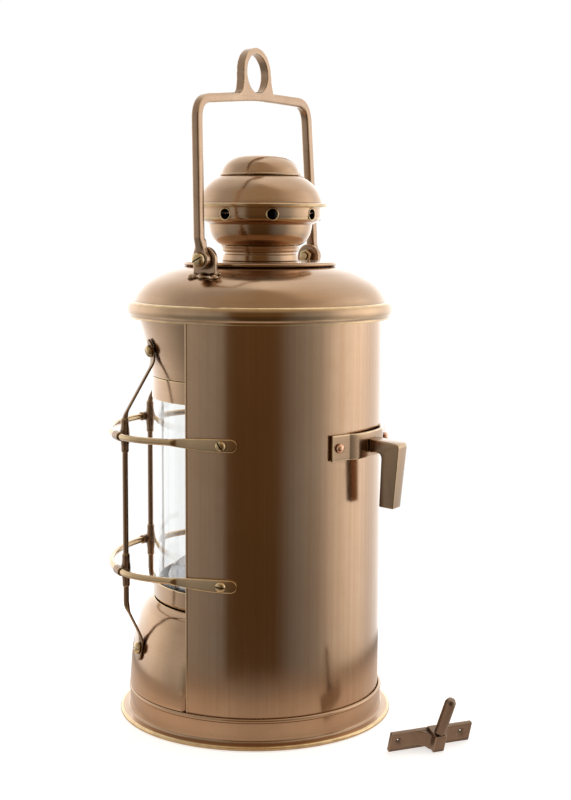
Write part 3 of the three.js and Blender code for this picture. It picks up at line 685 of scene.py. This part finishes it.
turned("lower_glass_ring", profile(
    [(66.8, 80.4), (69.2, 80.4)], [(69.2, 80.4), (69.9, 81.2)], [(69.9, 81.2), (70.6, 82.6)],
    [(70.6, 82.6), (70.6, 93)],
    [(70.6, 93), (69.6, 93)], [(69.6, 93), (69.6, 81.6)], [(69.6, 81.6), (66.8, 81.6)],
    [(66.8, 81.6), (66.8, 80.4)],
    radius=0.25,
), spun_brass, "lantern")
turned("upper_glass_ring", profile(
    [(70.6, 217.4), (70.6, 232)], [(70.6, 232), (66.8, 232)],
    [(66.8, 232), (66.8, 230.8)], [(66.8, 230.8), (69.6, 230.8)], [(69.6, 230.8), (69.6, 217.4)],
    [(69.6, 217.4), (70.6, 217.4)], radius=0.25,
), spun_brass, "lantern")
turned("glass", profile(
    [(66.8, 81.9), (69.3, 81.9)], [(69.3, 81.9), (69.3, 230.5)], [(69.3, 230.5), (66.8, 230.5)],
    [(66.8, 230.5), (66.8, 81.9)], radius=0.8,
), clear_glass, "lantern")


def casing_section():
    """Half a ring of sheet with a wire rolled into each upright edge."""
    bead_wide, bead_high = 1.6, 0.5
    marks = [0, 0.1, 0.25, 0.45, 0.65, 0.8, 0.95, 1.15, 1.35, 1.5, bead_wide, 1.75, 2.6, 4]
    edge = [math.degrees(mark / CASING_R) for mark in marks]
    turns = [*edge, *np.arange(4, 176.1, 1.25), *(180 - a for a in reversed(edge))]

    def raised(turn):
        along = math.radians(min(turn, 180 - turn)) * CASING_R
        return bead_high * math.sqrt(max(1 - (2 * along / bead_wide - 1) ** 2, 0))

    outer = [polar(CASING_R + raised(a), a) for a in turns]
    inner = [polar(CASING_R - 1, a) for a in reversed(turns)]
    return [tuple(p) for p in soften([np.array((v.x, v.y)) for v in [*outer, *inner]], 0.2)]


piece("casing", to_mesh(prism(casing_section(), 8.4, 275.5)), drawn_brass, "lantern")

# ---------- top and vent head ----------

LID_PLACE = Matrix.Translation((-1.3 * MM, 2 * MM, 0))
DOME = [(85.8, 282.4), (84.9, 284), (83.4, 287.1), (80.6, 291), (77.2, 294.4), (73.2, 297.3), (68.5, 299.9),
    (63.6, 302.2),
        (57.5, 304.3), (52, 305.4), (47, 305.7)]


def lid_part(node, points, sides=160, sooty=None, dull=None):
    """A turned piece of the lid, which sits a little off the lantern's axis."""
    mesh = to_mesh(lathe(points, sides))
    return piece(node, mesh, spun_brass, "lantern", LID_PLACE, 40, sooty, dull)


lid_part("top_dome", profile(
    [(87.7, 277), (87.7, 271.4)],
    [(87.7, 271.4), (88, 271.3), (88.2, 271.7), (88.25, 273)],
    [(88.25, 273), (89.2, 274.3), (89.85, 276.2), (90, 278.2), (89.6, 280.3), (88.7, 281.9), (87.4, 282.5),
    (85.8, 282.4)],
    DOME, [(47, 305.7), (24, 305.7)], [(24, 305.7), (24, 304.7)], [(24, 304.7), (50.6, 304.7)],
    [(50.6, 304.7), (62.9, 301.2), (72.2, 296.4), (79.4, 290.2), (84.6, 279.6)], [(84.6, 279.6), (87.7, 277)],
    radius=0.3, step=0.6,
), WIDE)

lid_part("top_flange", profile(
    [(24.5, 306), (27, 306)], [(27, 306), (27, 307.7)], [(27, 307.7), (49.3, 307.7)],
    [(49.3, 307.7), (49.3, 306)], [(49.3, 306), (50.4, 306)],
    [(50.4, 306), (51.3, 306.5), (51.7, 307.4), (51.3, 308.3), (50.4, 308.8), (49.2, 308.9)],
    [(49.2, 308.9), (24.5, 308.9)], [(24.5, 308.9), (24.5, 306)], radius=0.25, step=0.4,
), dull=lambda r, z: True)

lid_part("vent_neck", profile(
    [(23.2, 309.2), (25.7, 309.2)], [(25.7, 309.2), (25.5, 313)],
    [(25.5, 313), (24.2, 313.6)], [(24.2, 313.6), (24.2, 315)],
    [(24.2, 315), (25.5, 315.6), (25.9, 317.2), (26.4, 318.9)], [(26.4, 318.9), (23.2, 318.9)],
    [(23.2, 318.9), (23.2, 309.2)], radius=0.3, step=0.4,
), dull=lambda r, z: True)

lid_part("inner_flue", profile(
    [(17, 298.6), (18, 298.6)], [(18, 298.6), (18, 303.2)], [(18, 303.2), (23, 303.2)],
    [(23, 303.2), (23, 304.2)],
    [(23, 304.2), (18, 304.2)], [(18, 304.2), (18, 350)], [(18, 350), (17, 350)], [(17, 350), (17, 298.6)],
    radius=0.2,
), 96, lambda r, z: True)


def eyelet(angle, z, r, thick):
    """A rolled rim round a vent hole."""
    rings, count = 40, 12
    out, side = polar(1, angle), polar(1, angle + 90)
    middle = out * 40.75 + Vector((0, 0, z))
    verts, faces = [], []
    for i in range(rings):
        a = 2 * math.pi * i / rings
        spoke = side * math.cos(a) + Z_UP * math.sin(a)
        for k in range(count):
            b = 2 * math.pi * k / count
            sag = (r * math.cos(a)) ** 2 / (2 * 40.75)
            verts.append(middle - out * sag + spoke * (r + thick * math.cos(b)) + out * thick * math.sin(b))
    for i in range(rings):
        for k in range(count):
            j, m = (i + 1) % rings, (k + 1) % count
            faces.append([i * count + k, i * count + m, j * count + m, j * count + k])
    return verts, faces


def vent_bowl():
    hole_z, hole_r = 340, 3.55
    bowl = to_mesh(lathe(profile(
        [(25.2, 320.2), (26.2, 319.2)],
        [(26.2, 319.2), (29.2, 320.9), (31.8, 323.6), (33.6, 327.1), (34.6, 331), (35.0, 333.4)],
        [(35.0, 333.4), (36.6, 334.2), (39.0, 335.5), (40.4, 337.2), (40.85, 339.2)],
        [(40.85, 339.2), (40.9, 345.8)], [(40.9, 345.8), (39.8, 345.8)],
        [(39.8, 345.8), (39.8, 338.9), (37, 336), (34.2, 334.6)],
        [(34.2, 334.6), (32.9, 328.3), (29.8, 323), (25.2, 320.2)],
        radius=0.3, step=0.5,
    ), 160))
    for k in range(8):
        angle = 45 * k - 2.2
        bowl = unite(bowl, eyelet(angle, hole_z, hole_r + 0.35, 0.45))
        bowl = carve(bowl, rod(polar(34, angle, hole_z), polar(46, angle, hole_z), hole_r, 0.05, 40))
    return bowl


piece("vent_bowl", vent_bowl(), spun_brass, "lantern", LID_PLACE, 35,
      lambda r, z: r < 40.1 and z > 336.5 or r < 34.4 and z > 334, lambda r, z: z < 336.2)

lid_part("vent_cap", profile(
    [(40.8, 346.1), (42, 346.1)],
    [(42, 346.1), (42.3, 345.2), (43, 344.65), (44.1, 344.5), (45.1, 345), (45.6, 346), (45.3, 346.9),
    (44.3, 347.35)],
    [(44.3, 347.35), (42.2, 347.7)],
    [(42.2, 347.7), (41.7, 349.2), (40.7, 351.6), (38.4, 356.2), (33.8, 361.2), (30.4, 363.7), (27.2, 365.4)],
    [(27.2, 365.4), (26, 364.4)], [(26, 364.4), (32.9, 360.3), (37.3, 355.6), (39.6, 350.9), (40.8, 346.1)],
    radius=0.25, step=0.5,
))

lid_part("vent_crown", [*soften([
    *spline([(0, 378.5), (8.3, 378.2), (16.4, 376.4), (21.4, 373.2), (24, 369.9), (25.4, 365.7)], 0.8),
    *spline([(27.4, 365.7), (27.6, 366.3), (27.2, 366.9), (26.5, 367.2)], 0.3),
    *spline([(26.1, 368.4), (24.9, 371), (22.3, 374.3), (17.6, 377.4), (12, 378.9), (6, 379.5), (0, 379.6)],
    0.5),
], 0.25, closed=False)], dull=lambda r, z: True)

# ---------- bail, ears and pivots ----------

PIVOT_Z = 311.0
half_turn = Matrix.Rotation(math.pi, 4, "Z")
# An outline's x and y become Y and Z, or X and Z.
UPRIGHT_YZ = Matrix(((0, 0, 1, 0), (1, 0, 0, 0), (0, 1, 0, 0), (0, 0, 0, 1)))
UPRIGHT_XZ = Matrix(((1, 0, 0, 0), (0, 0, -1, 0), (0, 1, 0, 0), (0, 0, 0, 1)))


def ear():
    """A round-topped lug soldered to the dome, with uneven solder run round its foot."""
    top = [(8.4 * math.cos(a), PIVOT_Z + 8.4 * math.sin(a)) for a in np.linspace(0, math.pi, 25)]
    shapes = [prism([*top, (-8.8, 294), (8.8, 294)], 64, 67.5, UPRIGHT_YZ)]
    dome_r, dome_z = [p[0] for p in reversed(DOME)], [p[1] for p in reversed(DOME)]
    for k in range(34):
        y = lerp(-9.2, 9.2, (k % 17) / 16)
        outside = k < 17
        size = 1.9 + 0.55 * math.sin(0.9 * k + 1) + 0.25 * math.cos(3.7 * k)
        x = (67 + 0.6 * size) if outside else (64.5 - 0.6 * size)
        foot = float(np.interp(math.hypot(x, y), dome_r, dome_z))
        drop = [(0, -size), (size * 0.8, -size * 0.6), (size * 1.15, 0), (size * 0.75, size * 0.65),
            (0, size)]
        shapes.append(moved(lathe([np.array(p) for p in drop], 14),
            Matrix.Translation((x, y, foot + 0.1 * size))))
    mesh = cast(shapes, 0.42, 10)
    seat = lathe(profile([(0, 260), (86.1, 260)], [(86.1, 260), (86.1, 282.6)], [
        (86.1, 282.6), (83.7, 287.3), (80.9, 291.2), (73.5, 297.5), (63.8, 302.5), (57.7, 304.6), (52, 305.7),
        (47, 306),
    ], [(47, 306), (0, 306)], radius=0.1), 128)
    return carve(mesh, seat)


def slotted_head(r, high, shank_r, shank_long):
    """A round head with its slot, above z = 0, on its shank."""
    line = profile(
        [(0, -shank_long), (shank_r, -shank_long)], [(shank_r, -shank_long), (shank_r, 0)],
        [(shank_r, 0), (r - 0.2, 0)],
        [(r - 0.2, 0), (r, 0.35), (r * 0.97, high * 0.38), (r * 0.78, high * 0.74), (r * 0.42, high * 0.95),
        (0, high)],
        radius=0.15, step=0.35,
    )
    slot = block((-r - 1, -0.55, high * 0.45), (r + 1, 0.55, high + 1))
    return bevel(carve(to_mesh(lathe(line, 48)), slot), 0.12, 2, 50)


def toward(at, out, spin=0.0):
    """A place, in metres, for a piece made along +Z: at a point, facing a direction, turned about it."""
    turn = Z_UP.rotation_difference(Vector(out)).to_matrix().to_4x4()
    return Matrix.Translation(Vector(at) * MM) @ turn @ Matrix.Rotation(math.radians(spin), 4, "Z")


ear_mesh = ear()
for side, turn in (("right", Matrix.Identity(4)), ("left", half_turn)):
    side_place = LID_PLACE @ turn
    piece(f"bail_ear_{side}", ear_mesh.copy(), cast_brass, "lantern", side_place, 60)
    piece(f"pivot_screw_{side}", slotted_head(4.6, 3.6, 2.2, 14.5), screw_brass, "lantern",
          side_place @ toward((73.5, 0, PIVOT_Z), (1, 0, 0), 117))
    corners = [polar(4.7, 60 * k) for k in range(6)]
    nut = carve(to_mesh(prism([(v.x, v.y) for v in corners], 0, 3.4)), rod((0, 0, -1), (0, 0, 6), 2.45, 0.05))
    piece(f"pivot_nut_{side}", bevel(nut, 0.35, 3), screw_brass, "lantern",
          side_place @ toward((60.3, 0, PIVOT_Z), (1, 0, 0), 10))


def filleted(corners, reach, steps):
    """Rounds the inner corners of a path, keeping `steps` points in each bend."""
    made = [corners[0]]
    for last, corner, after in zip(corners, corners[1:], corners[2:]):
        start = corner + (last - corner).normalized() * reach
        end = corner + (after - corner).normalized() * reach
        for k in range(steps + 1):
            t = k / steps
            made.append(start * (1 - t) ** 2 + corner * 2 * t * (1 - t) + end * t * t)
    return [*made, corners[-1]]


def bail():
    """The bail about its own pivot at the origin: a bar bent to a racked arch, with a cast lug for the hook."""
    foot_x, near_ankle, far_ankle = 70.6, (72.3, 14), (-71.2, 14)
    corners = [near_ankle, (69.2, 100.9), (0, 107), (-67.5, 106.7), far_ankle]
    bends = filleted([Vector((x, 0, z)) for x, z in corners], 13, 12)
    line = [Vector((foot_x, 0, 4)), Vector((71.2, 0, 8)), *bends, Vector((-70.9, 0, 8)),
        Vector((-foot_x, 0, 4))]

    def section(i):
        ankle = smoothstep(4, 14, line[i].z)
        stout = smoothstep(20, -60, line[i].x) * 0.25
        return 2.9 + stout, lerp(2.35, 3.1, ankle) + stout, 4.2

    bar = tube(line, Vector((0, 1, 0)), section)
    eye_z, top_r, hole_r = 121.6, 17.0, 13.0
    arch = [(top_r * math.cos(a), eye_z + top_r * math.sin(a)) for a in np.linspace(0, math.pi, 40)]
    flank = [(17.6, 115), (18.9, 110.6), (20.6, 108.4), (23, 106.6)]
    outline = [*arch, *[(-x, z) for x, z in flank], *reversed(flank)]
    lug = carve(to_mesh(prism(outline, -3.1, 3.1, UPRIGHT_XZ)),
        rod((0, -9, eye_z), (0, 9, eye_z), hole_r, 0.1, 64))
    shapes = [bar, ([v.co / MM for v in lug.vertices], [list(p.vertices) for p in lug.polygons])]
    shoulder = [(-4.9, 3), (-3.4, 7.5), (-2.9, 13), (2.9, 13), (3.4, 7.5), (4.9, 3)]
    for side in (-1, 1):
        shapes.append(rod((side * 68.1, 0, 0), (side * 73.1, 0, 0), 6.15, 0.5, 48))
        inside, outside = sorted((side * 68.4, side * 73))
        shapes.append(prism(shoulder, inside, outside, UPRIGHT_YZ))
    mesh = cast(shapes, 0.5, 4)
    return carve(mesh, rod((-80, 0, 0), (80, 0, 0), 2.5, 0.05))


BAIL_LEAN = 2.4
piece("bail", bail(), cast_brass, "bail",
      LID_PLACE @ Matrix.Translation((0, 0, PIVOT_Z * MM)) @ Matrix.Rotation(math.radians(BAIL_LEAN), 4, "X"),
      60)

# ---------- guard ----------

GUARD = -94.0
RAIL_R, RAIL_ROD = 98.7, 2.2
RAIL_HEIGHTS = {"upper": 195.6, "lower": 105.4}
PADDLE_R = CASING_R + GAP + 1
BAR_R = RAIL_R - RAIL_ROD - GAP - 2
BAR_ANGLES = {"front": GUARD, "right": GUARD + 60, "left": GUARD - 60}


def rail_radius(turn):
    turn = abs(turn)
    bent = lerp(RAIL_R, PADDLE_R, smoothstep(64, 97, turn))
    for middle in (0, 60):
        if abs(turn - middle) < 3:
            bent *= math.cos(math.radians(3)) / math.cos(math.radians(turn - middle))
    return bent


def rail(z):
    """A round rod hammered flat at both ends, where it is screwed to the casing."""
    half = [*np.arange(0, 84, 1.0), *np.arange(84, 102, 0.5), *np.arange(102, 115, 1.0),
            115.2, 115.8, 116.4, 116.9, 117.3, 117.6, 117.82, 117.95, 118]
    turns = [*(-t for t in reversed(half[1:])), *half]
    line = [polar(rail_radius(t), GUARD + t, z) for t in turns]

    def section(i):
        turn = abs(turns[i])
        widening = math.sin(math.pi / 2 * min(max((turn - 87) / 24, 0), 1))
        wide = lerp(RAIL_ROD, 4.2, widening)
        if turn > 115.2:
            wide *= math.sqrt(max(1 - ((turn - 115.2) / 2.81) ** 2, 0.01))
        return wide, lerp(RAIL_ROD, 0.98, smoothstep(87.5, 91.5, turn)), lerp(2, 5.5,
            smoothstep(87, 92, turn))

    return to_mesh(tube(line, Z_UP, section))


LOWER = [(84.9, 8.4), (84.9, 19.3), (86.3, 21.4), (86.1, 30), (85.5, 38), (84.4, 47), (82.7, 55), (80.6, 63),
    (78.2, 70.4),
         (74.8, 76), (69.9, 79.9)]
UPPER = [(70.6, 232.4), (71.8, 241), (74.6, 253.5), (79.6, 270), (83.2, 275.5)]


def seat(line, z, angle, lift):
    """A point lifted off a skirt, and the skirt's outward direction there."""
    radius = lambda height: float(np.interp(height, [p[1] for p in line], [p[0] for p in line]))
    out = polar(1, angle, -(radius(z + 2) - radius(z - 2)) / 4).normalized()
    return polar(radius(z), angle, z) + out * lift, out


TAB_THICK = 0.8
TAB_LIFT = GAP + TAB_THICK + 0.15


def bar(angle):
    """An upright guard bar: a rod between the rails, flattened at both ends to lie on the skirts."""
    corners = [
        seat(UPPER, 258.5, angle, TAB_LIFT)[0], seat(UPPER, 244, angle, TAB_LIFT)[0],
            polar(BAR_R, angle, 209),
        polar(BAR_R, angle, 80), seat(LOWER, 57, angle, TAB_LIFT)[0], seat(LOWER, 42.5, angle, TAB_LIFT)[0],
    ]
    rough_line = filleted(corners, 5, 8)
    line = []
    for a, b in zip(rough_line, rough_line[1:]):
        count = max(1, math.ceil((b - a).length / 2))
        line += [a.lerp(b, k / count) for k in range(count)]
    line.append(rough_line[-1])
    ends = [line[0], line[-1]]

    def section(i):
        z = line[i].z
        flat = max(smoothstep(206, 213, z), smoothstep(82, 75, z))
        tab = max(smoothstep(238, 246, z), smoothstep(63, 54, z))
        near = min((line[i] - end).length for end in ends)
        tip = math.sqrt(max(1 - max(1 - near / 3.4, 0) ** 2, 0.03))
        return lerp(lerp(1.85, 1.35, flat), 3.5, tab) * tip, lerp(1.85, 0.78, flat), lerp(2, 5, flat)

    return to_mesh(tube(line, polar(1, angle + 90), section))


def crossing(angle, z):
    """A small casting where a bar passes behind a rail: a collar along each of them."""
    middle_out = polar(RAIL_R, angle, z)
    along = polar(1, angle + 90)
    upright = lathe([np.array(p) for p in spline([
        (0.01, -11.4), (2.1, -11.3), (2.5, -10.4), (2.55, -7), (2.9, -4), (3.1, 0), (2.9, 4), (2.55, 7),
        (2.5, 10.4),
        (2.1, 11.3), (0.01, 11.4)], 0.6)], 24)
    level = lathe([np.array(p) for p in spline([
        (0.01, -4.9), (2.9, -4.85), (3.15, -4.1), (3.05, -2), (3.2, 0), (3.05, 2), (3.15, 4.1), (2.9, 4.85),
        (0.01, 4.9),
    ], 0.6)], 24)
    upright = moved(upright, Matrix.Translation(polar(BAR_R, angle, z)))
    level = moved(level, Matrix.Translation(middle_out) @ Z_UP.rotation_difference(along).to_matrix().to_4x4())
    mesh = cast([upright, level], 0.4, 3)
    return carve(mesh, rod(polar(BAR_R, angle, z - 14), polar(BAR_R, angle, z + 14), 1.95, 0.05),
                 rod(middle_out - along * 9, middle_out + along * 9, RAIL_ROD + 0.15, 0.05))


for level, z in RAIL_HEIGHTS.items():
    piece(f"guard_rail_{level}", rail(z), rail_brass, "lantern")
for place, angle in BAR_ANGLES.items():
    piece(f"guard_bar_{place}", bar(angle), bar_brass, "lantern")
    for level, z in RAIL_HEIGHTS.items():
        piece(f"guard_cross_{place}_{level}", crossing(angle, z), bar_brass, "lantern",
            sharp=60)

number = 1
for z, slot_turn in zip(RAIL_HEIGHTS.values(), (52, 100)):
    for side in (-1, 1):
        angle = GUARD + side * 111.2
        piece(f"rail_screw_{number}", slotted_head(3.6, 3.0, 1.6, 4.6), screw_brass, "lantern",
              toward(polar(PADDLE_R + 1.1, angle, z), polar(1, angle), slot_turn))
        number += 1
number = 1
for angle in BAR_ANGLES.values():
    for line, z in ((UPPER, 251), (LOWER, 50.5)):
        at, out = seat(line, z, angle, TAB_LIFT + TAB_THICK + GAP + 0.2)
        piece(f"bar_screw_{number}", slotted_head(4.1, 3.0, 1.6, 4.6), screw_brass, "lantern",
              toward(at, out, 61 * number))
        number += 1

# ---------- back hanger ----------

STRAP_Z = 192.0
SEAT_R = CASING_R + GAP + 1.1 + 0.1


def strap():
    """A riveted strap: a flat tab at each end, and a middle that stands off the casing behind the arm."""
    crest, near, far, bulge = 8.6, 14.8, 24.5, 2.6
    middle_turn = (near + far) / 2
    points = []
    for turn in np.arange(-far, far + 0.01, 0.35):
        t = abs(turn)
        if t >= near:
            r = SEAT_R / math.cos(math.radians(t - middle_turn)) + 0.05
        else:
            fall = max((t - crest) / (near - crest), 0)
            r = SEAT_R + bulge - (bulge - 0.35) * fall ** 2
        points.append(polar(r, 90 - turn, STRAP_Z))
    band = tube(points, Z_UP, lambda i: (8.4, 1.08, 8))
    return bevel(to_mesh(band), 0.2, 2, 50)


def hanger_arm():
    """An elbow, wider at the top than at its foot, with a socket for the pin."""
    root, foot_z, root_z = 90.45, 150.7, 195.8
    side = [(root, 186.7), (root, root_z), (109.2, 193.9)]
    side += [tuple(p) for p in filleted_flat((109.2, 193.9), (111.7, 193.4), (111.6, 190.4))]
    side += [(107.8, foot_z), (97.4, 151.5), (98.9, 183)]
    side += [tuple(p) for p in filleted_flat((98.9, 183), (98.9, 187), (95, 187.1))]
    verts, faces = prism(side, -1, 1, UPRIGHT_YZ)
    verts = [Vector((v.x * lerp(5.4, 6.2, (v.z - foot_z) / (root_z - foot_z)), v.y, v.z)) for v in verts]
    arm = bevel(to_mesh((verts, faces)), 0.75, 4, 40)
    return carve(arm, rod((0, 102.7, 140), (0, 102.7, 178), 3.85, 0.1, 40))


def filleted_flat(start, corner, end, steps=7):
    start, corner, end = (np.array(p) for p in (start, corner, end))
    return [start * (1 - t) ** 2 + corner * 2 * t * (1 - t) + end * t * t for t in np.linspace(0, 1,
        steps + 1)[1:]]


piece("hanger_strap", strap(), strap_brass, "lantern")
piece("hanger_arm", hanger_arm(), strap_brass, "lantern")
rivet = to_mesh(lathe(profile(
    [(0, -4.4), (1.6, -4.4)], [(1.6, -4.4), (1.6, 0)], [(1.6, 0), (2.95, 0)],
    [(2.95, 0), (3.1, 0.4), (2.9, 1.1), (2.3, 1.9), (1.2, 2.45), (0, 2.6)], radius=0.15, step=0.3), 48))
for number, side in enumerate((-1, 1), 1):
    angle = 90 + side * 20.8
    piece(f"strap_rivet_{number}", rivet.copy(), rivet_copper, "lantern",
          toward(polar(CASING_R + 2 * GAP + 2.45, angle, STRAP_Z), polar(1, angle)))

# ---------- wall bracket ----------

bracket_place = (
    Matrix.Translation((34.6 * MM, 121.8 * MM, 0)) @ Matrix.Rotation(math.radians(144.3), 4, "Z")
    @ Matrix.Rotation(math.atan2(3.9, 11.5), 4, "X")
)
PLATE_LONG, PIN_FRONT, SEAT_Z = 58.8, 7.2, 9.85
# The pin leans a little about the middle of its seat in the block.
pin_place = (
    Matrix.Translation((PLATE_LONG / 2, -PIN_FRONT, SEAT_Z)) @ Matrix.Rotation(math.radians(3.5), 4, "X")
    @ Matrix.Rotation(math.radians(5), 4, "Y") @ Matrix.Translation((0, 0, -SEAT_Z))
)


def wall_plate():
    slab = block((0, 0, 0), (PLATE_LONG, 3, 13.8))
    nose = block((25.4, -11.5, 3.9), (33.4, 1, 15.8))
    flanks = []
    for side in (-1, 1):
        line = spline([(14, 0.2), (11, -0.5), (8.5, -1.4), (5.6, -3.6), (3.8, -7)], 0.6)
        outline = [(29.4 + side * x, y) for x, y in [*map(tuple, line), (0, -7), (0, 1), (14, 1)]]
        flanks.append(prism(outline, 2.8, 13.4))
    mesh = cast([slab, nose, *flanks], 0.45, 4)
    hole_r, sink_r = 0.8, 4.2
    sink = lathe(profile(
        [(0, -5), (hole_r, -5)], [(hole_r, -5), (hole_r, 0.9)], [(hole_r, 0.9), (sink_r, 3.2)],
        [(sink_r, 3.2), (sink_r, 8)], [(sink_r, 8), (0, 8)], radius=0.1,
    ), 40)
    face = Matrix.Rotation(math.pi / 2, 4, "X")
    holes = [moved(sink, Matrix.Translation((x, 3, 6.9)) @ face) for x in (6.5, PLATE_LONG - 6.5)]
    seat_bore = moved(rod((0, 0, 8), (0, 0, 20), 2.7, 0.05), pin_place)
    return carve(mesh, *holes, seat_bore)


piece("wall_plate", wall_plate(), bronze, "wall_bracket", bracket_place, 50)
pin = lathe(profile(
    [(0, 8.3), (2.4, 8.3)], [(2.4, 8.3), (2.4, 16.5)], [(2.4, 16.5), (3.6, 16.5)], [(3.6, 16.5), (3.6, 40.4)],
    [(3.6, 40.4), (2.5, 42.8)], [(2.5, 42.8), (0, 43.6)], radius=0.5, step=0.4,
), 48)
piece("wall_pin", to_mesh(moved(pin, pin_place)), bronze, "wall_bracket", bracket_place)

# ---------- studio ----------

FLOOR_RADIUS = 0.42


def component(nodes, vector, axis):
    """How far a vector goes along a fixed axis."""
    node = nodes.tree.nodes.new("ShaderNodeVectorMath")
    node.operation = "DOT_PRODUCT"
    nodes.set(node.inputs[0], vector)
    node.inputs[1].default_value = axis
    return node.outputs["Value"]


def make_floor():
    bm = bmesh.new()
    bmesh.ops.create_circle(bm, cap_ends=True, segments=128, radius=FLOOR_RADIUS)
    mesh = bpy.data.meshes.new("Floor")
    bm.to_mesh(mesh)
    bm.free()
    floor = bpy.data.objects.new("Floor", mesh)
    bpy.context.scene.collection.objects.link(floor)
    floor.location.z = -0.0002
    material = bpy.data.materials.new("FloorWhite")
    nodes = Nodes(material)
    seen = nodes.add("LightPath").outputs["Is Camera Ray"]
    diffuse = nodes.add("BsdfDiffuse", Color=(0.88, 0.88, 0.88, 1))
    bright = nodes.add("Emission", Color=(1, 1, 1, 1), Strength=0.62)
    lit = nodes.tree.nodes.new("ShaderNodeAddShader")
    nodes.tree.links.new(diffuse.outputs[0], lit.inputs[0])
    nodes.tree.links.new(bright.outputs[0], lit.inputs[1])

    # In reflections the floor is a pool of light that fades into the room.
    place = nodes.add("TexCoord").outputs["Object"]
    x, y, _ = nodes.add("SeparateXYZ", Vector=place).outputs
    distance = nodes.math("SQRT", nodes.math("ADD", nodes.math("MULTIPLY", x, x),
        nodes.math("MULTIPLY", y, y)))
    share = nodes.math("DIVIDE", distance, 0.25)
    level = nodes.ramp(share, (0.36, 0.42), (0.48, 0.60), (0.64, 0.55), (0.80, 0.30), (1.0, 0.25))
    sideways = nodes.math("DIVIDE", component(nodes, place, image_right),
        nodes.math("MAXIMUM", distance, 0.01))
    lift = nodes.add("MapRange", Value=nodes.math("ABSOLUTE", sideways))
    lift.inputs["To Min"].default_value, lift.inputs["To Max"].default_value = 1.0, 1.5
    pool = nodes.add("Emission", Color=nodes.mix(1.0, level, (1.0, 0.84, 0.72), "MULTIPLY"),
        Strength=lift.outputs[0])
    clear = nodes.add("BsdfTransparent")
    faded = nodes.tree.nodes.new("ShaderNodeMixShader")
    nodes.set(faded.inputs[0], nodes.ramp(share, (0.84, 0.0), (0.96, 1.0)))
    nodes.tree.links.new(pool.outputs[0], faded.inputs[1])
    nodes.tree.links.new(clear.outputs[0], faded.inputs[2])
    choice = nodes.tree.nodes.new("ShaderNodeMixShader")
    nodes.set(choice.inputs[0], seen)
    nodes.tree.links.new(faded.outputs[0], choice.inputs[1])
    nodes.tree.links.new(lit.outputs[0], choice.inputs[2])
    nodes.finish(choice)
    mesh.materials.append(material)


def make_studio():
    """A white room that is open and dark on one side, so that the round metal shows an upright dark band."""
    world = bpy.data.worlds.new("Studio")
    bpy.context.scene.world = world
    nodes = Nodes(world)
    way = nodes.add("TexCoord").outputs["Generated"]
    peak = 2.0

    def around(*stops):
        """Light by direction: stops are (degrees from the camera towards the image's right, level)."""
        levels = [((a + 180) / 360, tuple(c / peak for c in level) if isinstance(level,
            tuple) else level / peak)
                  for a, level in stops]
        return nodes.ramp(share, *levels)

    turn = nodes.math("ARCTAN2", component(nodes, way, image_right), component(nodes, way, camera_dir))
    share = nodes.math("ADD", nodes.math("DIVIDE", turn, 2 * math.pi), 0.5)
    rise = component(nodes, way, Z_UP)
    warm = (0.135, 0.082, 0.036)
    walls = around((-180, 1.5), (-112, 1.05), (-84, 0.52), (-66, 0.50), (-55, 0.42), (-42, 0.37), (-31, 0.33),
                   (-25, warm), (18, warm), (36, 0.28), (55, 0.42), (61, 0.52), (74, 0.95), (90, 1.25),
                   (107, 1.45),
                   (128, 1.1), (180, 1.5))
    by_height = nodes.ramp(nodes.math("ADD", nodes.math("MULTIPLY", rise, 0.5), 0.5),
                           (0.25, 0.42), (0.335, 0.53), (0.39, 0.667), (0.465, 0.833), (0.55, 0.867),
                           (0.65, 0.74))
    walls = nodes.mix(1.0, walls, nodes.mix(1.0, by_height, (1.5, 1.5, 1.5), "MULTIPLY"), "MULTIPLY")
    ceiling = around((-180, 1.2), (-90, 0.58), (-40, (0.52, 0.44, 0.35)), (0, (0.475, 0.385, 0.28)),
                     (40, (0.52, 0.43, 0.33)), (80, (0.92, 0.84, 0.75)), (120, 1.05), (180, 1.2))
    height = nodes.add("MapRange", Value=rise)
    height.interpolation_type = "SMOOTHSTEP"
    height.inputs["From Min"].default_value, height.inputs["From Max"].default_value = 0.22, 0.75
    light = nodes.mix(height.outputs[0], walls, ceiling)
    path = nodes.add("LightPath")
    plain = nodes.math("MAXIMUM", path.outputs["Is Camera Ray"], path.outputs["Is Transmission Ray"])
    colour = nodes.mix(plain, light, tuple(c / peak for c in (1.02, 1.02, 1.02)))
    nodes.finish(nodes.add("Background", Color=colour, Strength=peak), "World")


make_floor()
make_studio()
bpy.context.scene.view_settings.view_transform = "Standard"
